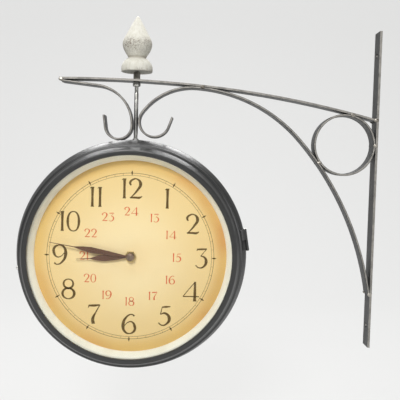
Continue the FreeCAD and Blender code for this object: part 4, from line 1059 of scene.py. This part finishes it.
# %% [markdown]
# ## Floor, backdrop and light
# A pale sweep of paper runs from the floor up behind the clock. Soft light comes from above
# and from the left, as in the photograph, and a weak fill keeps the dark side readable. The
# backdrop is bright only to the camera and in reflections, so it puts no extra light on
# the clock.


# %% Sweep and lights
def stage_paper():
    finish = Finish("sweep_paper", "bdbdbc", 0.9)
    path = finish.node("ShaderNodeLightPath")
    outputs = path.socket.node.outputs
    seen = Wire(finish, outputs["Is Camera Ray"])
    mirrored = Wire(finish, outputs["Is Glossy Ray"])
    through = Wire(finish, outputs["Is Transmission Ray"])
    either = seen.maths("MAXIMUM", seen, through)
    shown = either.maths("MAXIMUM", either, mirrored * 0.5)
    glow = finish.node("ShaderNodeEmission", None, {"Color": tint("f4f4f3"), "Strength": 1.0})
    plain = Wire(finish, finish.shader.outputs[0])
    both = finish.node("ShaderNodeMixShader", None, (shown * 0.7, plain, glow))
    output = finish.tree.nodes["Material Output"]
    finish.tree.links.new(both.socket, output.inputs["Surface"])
    return finish.material


FLOOR = -0.30
sweep = bmesh.new()
edge = sweep.edges.new([sweep.verts.new((x, -2.2, FLOOR)) for x in (-3.2, 2.8)])


def pull(edges, vector):
    made = bmesh.ops.extrude_edge_only(sweep, edges=edges)["geom"]
    verts = [item for item in made if isinstance(item, bmesh.types.BMVert)]
    bmesh.ops.translate(sweep, vec=vector, verts=verts)
    return [item for item in made if isinstance(item, bmesh.types.BMEdge)
            and all(v in verts for v in item.verts)]


far_edge = pull([edge], (0, 3.0, 0))
bend = bmesh.ops.spin(sweep, geom=far_edge + list(far_edge[0].verts),
                      cent=(0, 0.8, FLOOR + 0.8), axis=(1, 0, 0), angle=math.pi / 2,
                      steps=24)["geom_last"]
bend_edge = [item for item in bend if isinstance(item, bmesh.types.BMEdge)]
pull(bend_edge, (0, 0, 2.5))
new_object(sweep, "sweep", stage_paper())


def soft_box(name, place, target, size, power):
    data = bpy.data.lights.new(name, "AREA")
    data.shape = "RECTANGLE"
    data.size, data.size_y = size
    data.energy = power
    lamp = bpy.data.objects.new(name, data)
    lamp.visible_camera = False
    lamp.location = place
    lamp.rotation_euler = (Vector(target) - Vector(place)).to_track_quat("-Z", "Y").to_euler()
    scene.collection.objects.link(lamp)


soft_box("key", (-0.75, -2.05, 1.45), (-0.24, 0, -0.08), (0.9, 0.7), 50.0)
soft_box("overhead", (-0.25, 0.10, 1.25), (-0.25, 0.09, 0), (1.3, 1.2), 10.0)
soft_box("rim", (-0.25, 0.62, 1.10), (-0.25, 0, 0), (1.4, 0.35), 18.0)
soft_box("fill", (1.3, -1.3, 0.15), (-0.2, 0, -0.05), (0.8, 1.0), 5.0)

world = bpy.data.worlds.new("studio")
world.use_nodes = True
sky = world.node_tree
air = sky.nodes["Background"]
air.inputs["Color"].default_value = (0.9, 0.92, 0.95, 1.0)
air.inputs["Strength"].default_value = 0.3
pale = sky.nodes.new("ShaderNodeBackground")
pale.inputs["Color"].default_value = (*tint("e6e6e6"), 1.0)
choice = sky.nodes.new("ShaderNodeMixShader")
path = sky.nodes.new("ShaderNodeLightPath")
sky.links.new(path.outputs["Is Camera Ray"], choice.inputs[0])
sky.links.new(air.outputs[0], choice.inputs[1])
sky.links.new(pale.outputs[0], choice.inputs[2])
sky.links.new(choice.outputs[0], sky.nodes["World Output"].inputs["Surface"])
scene.world = world
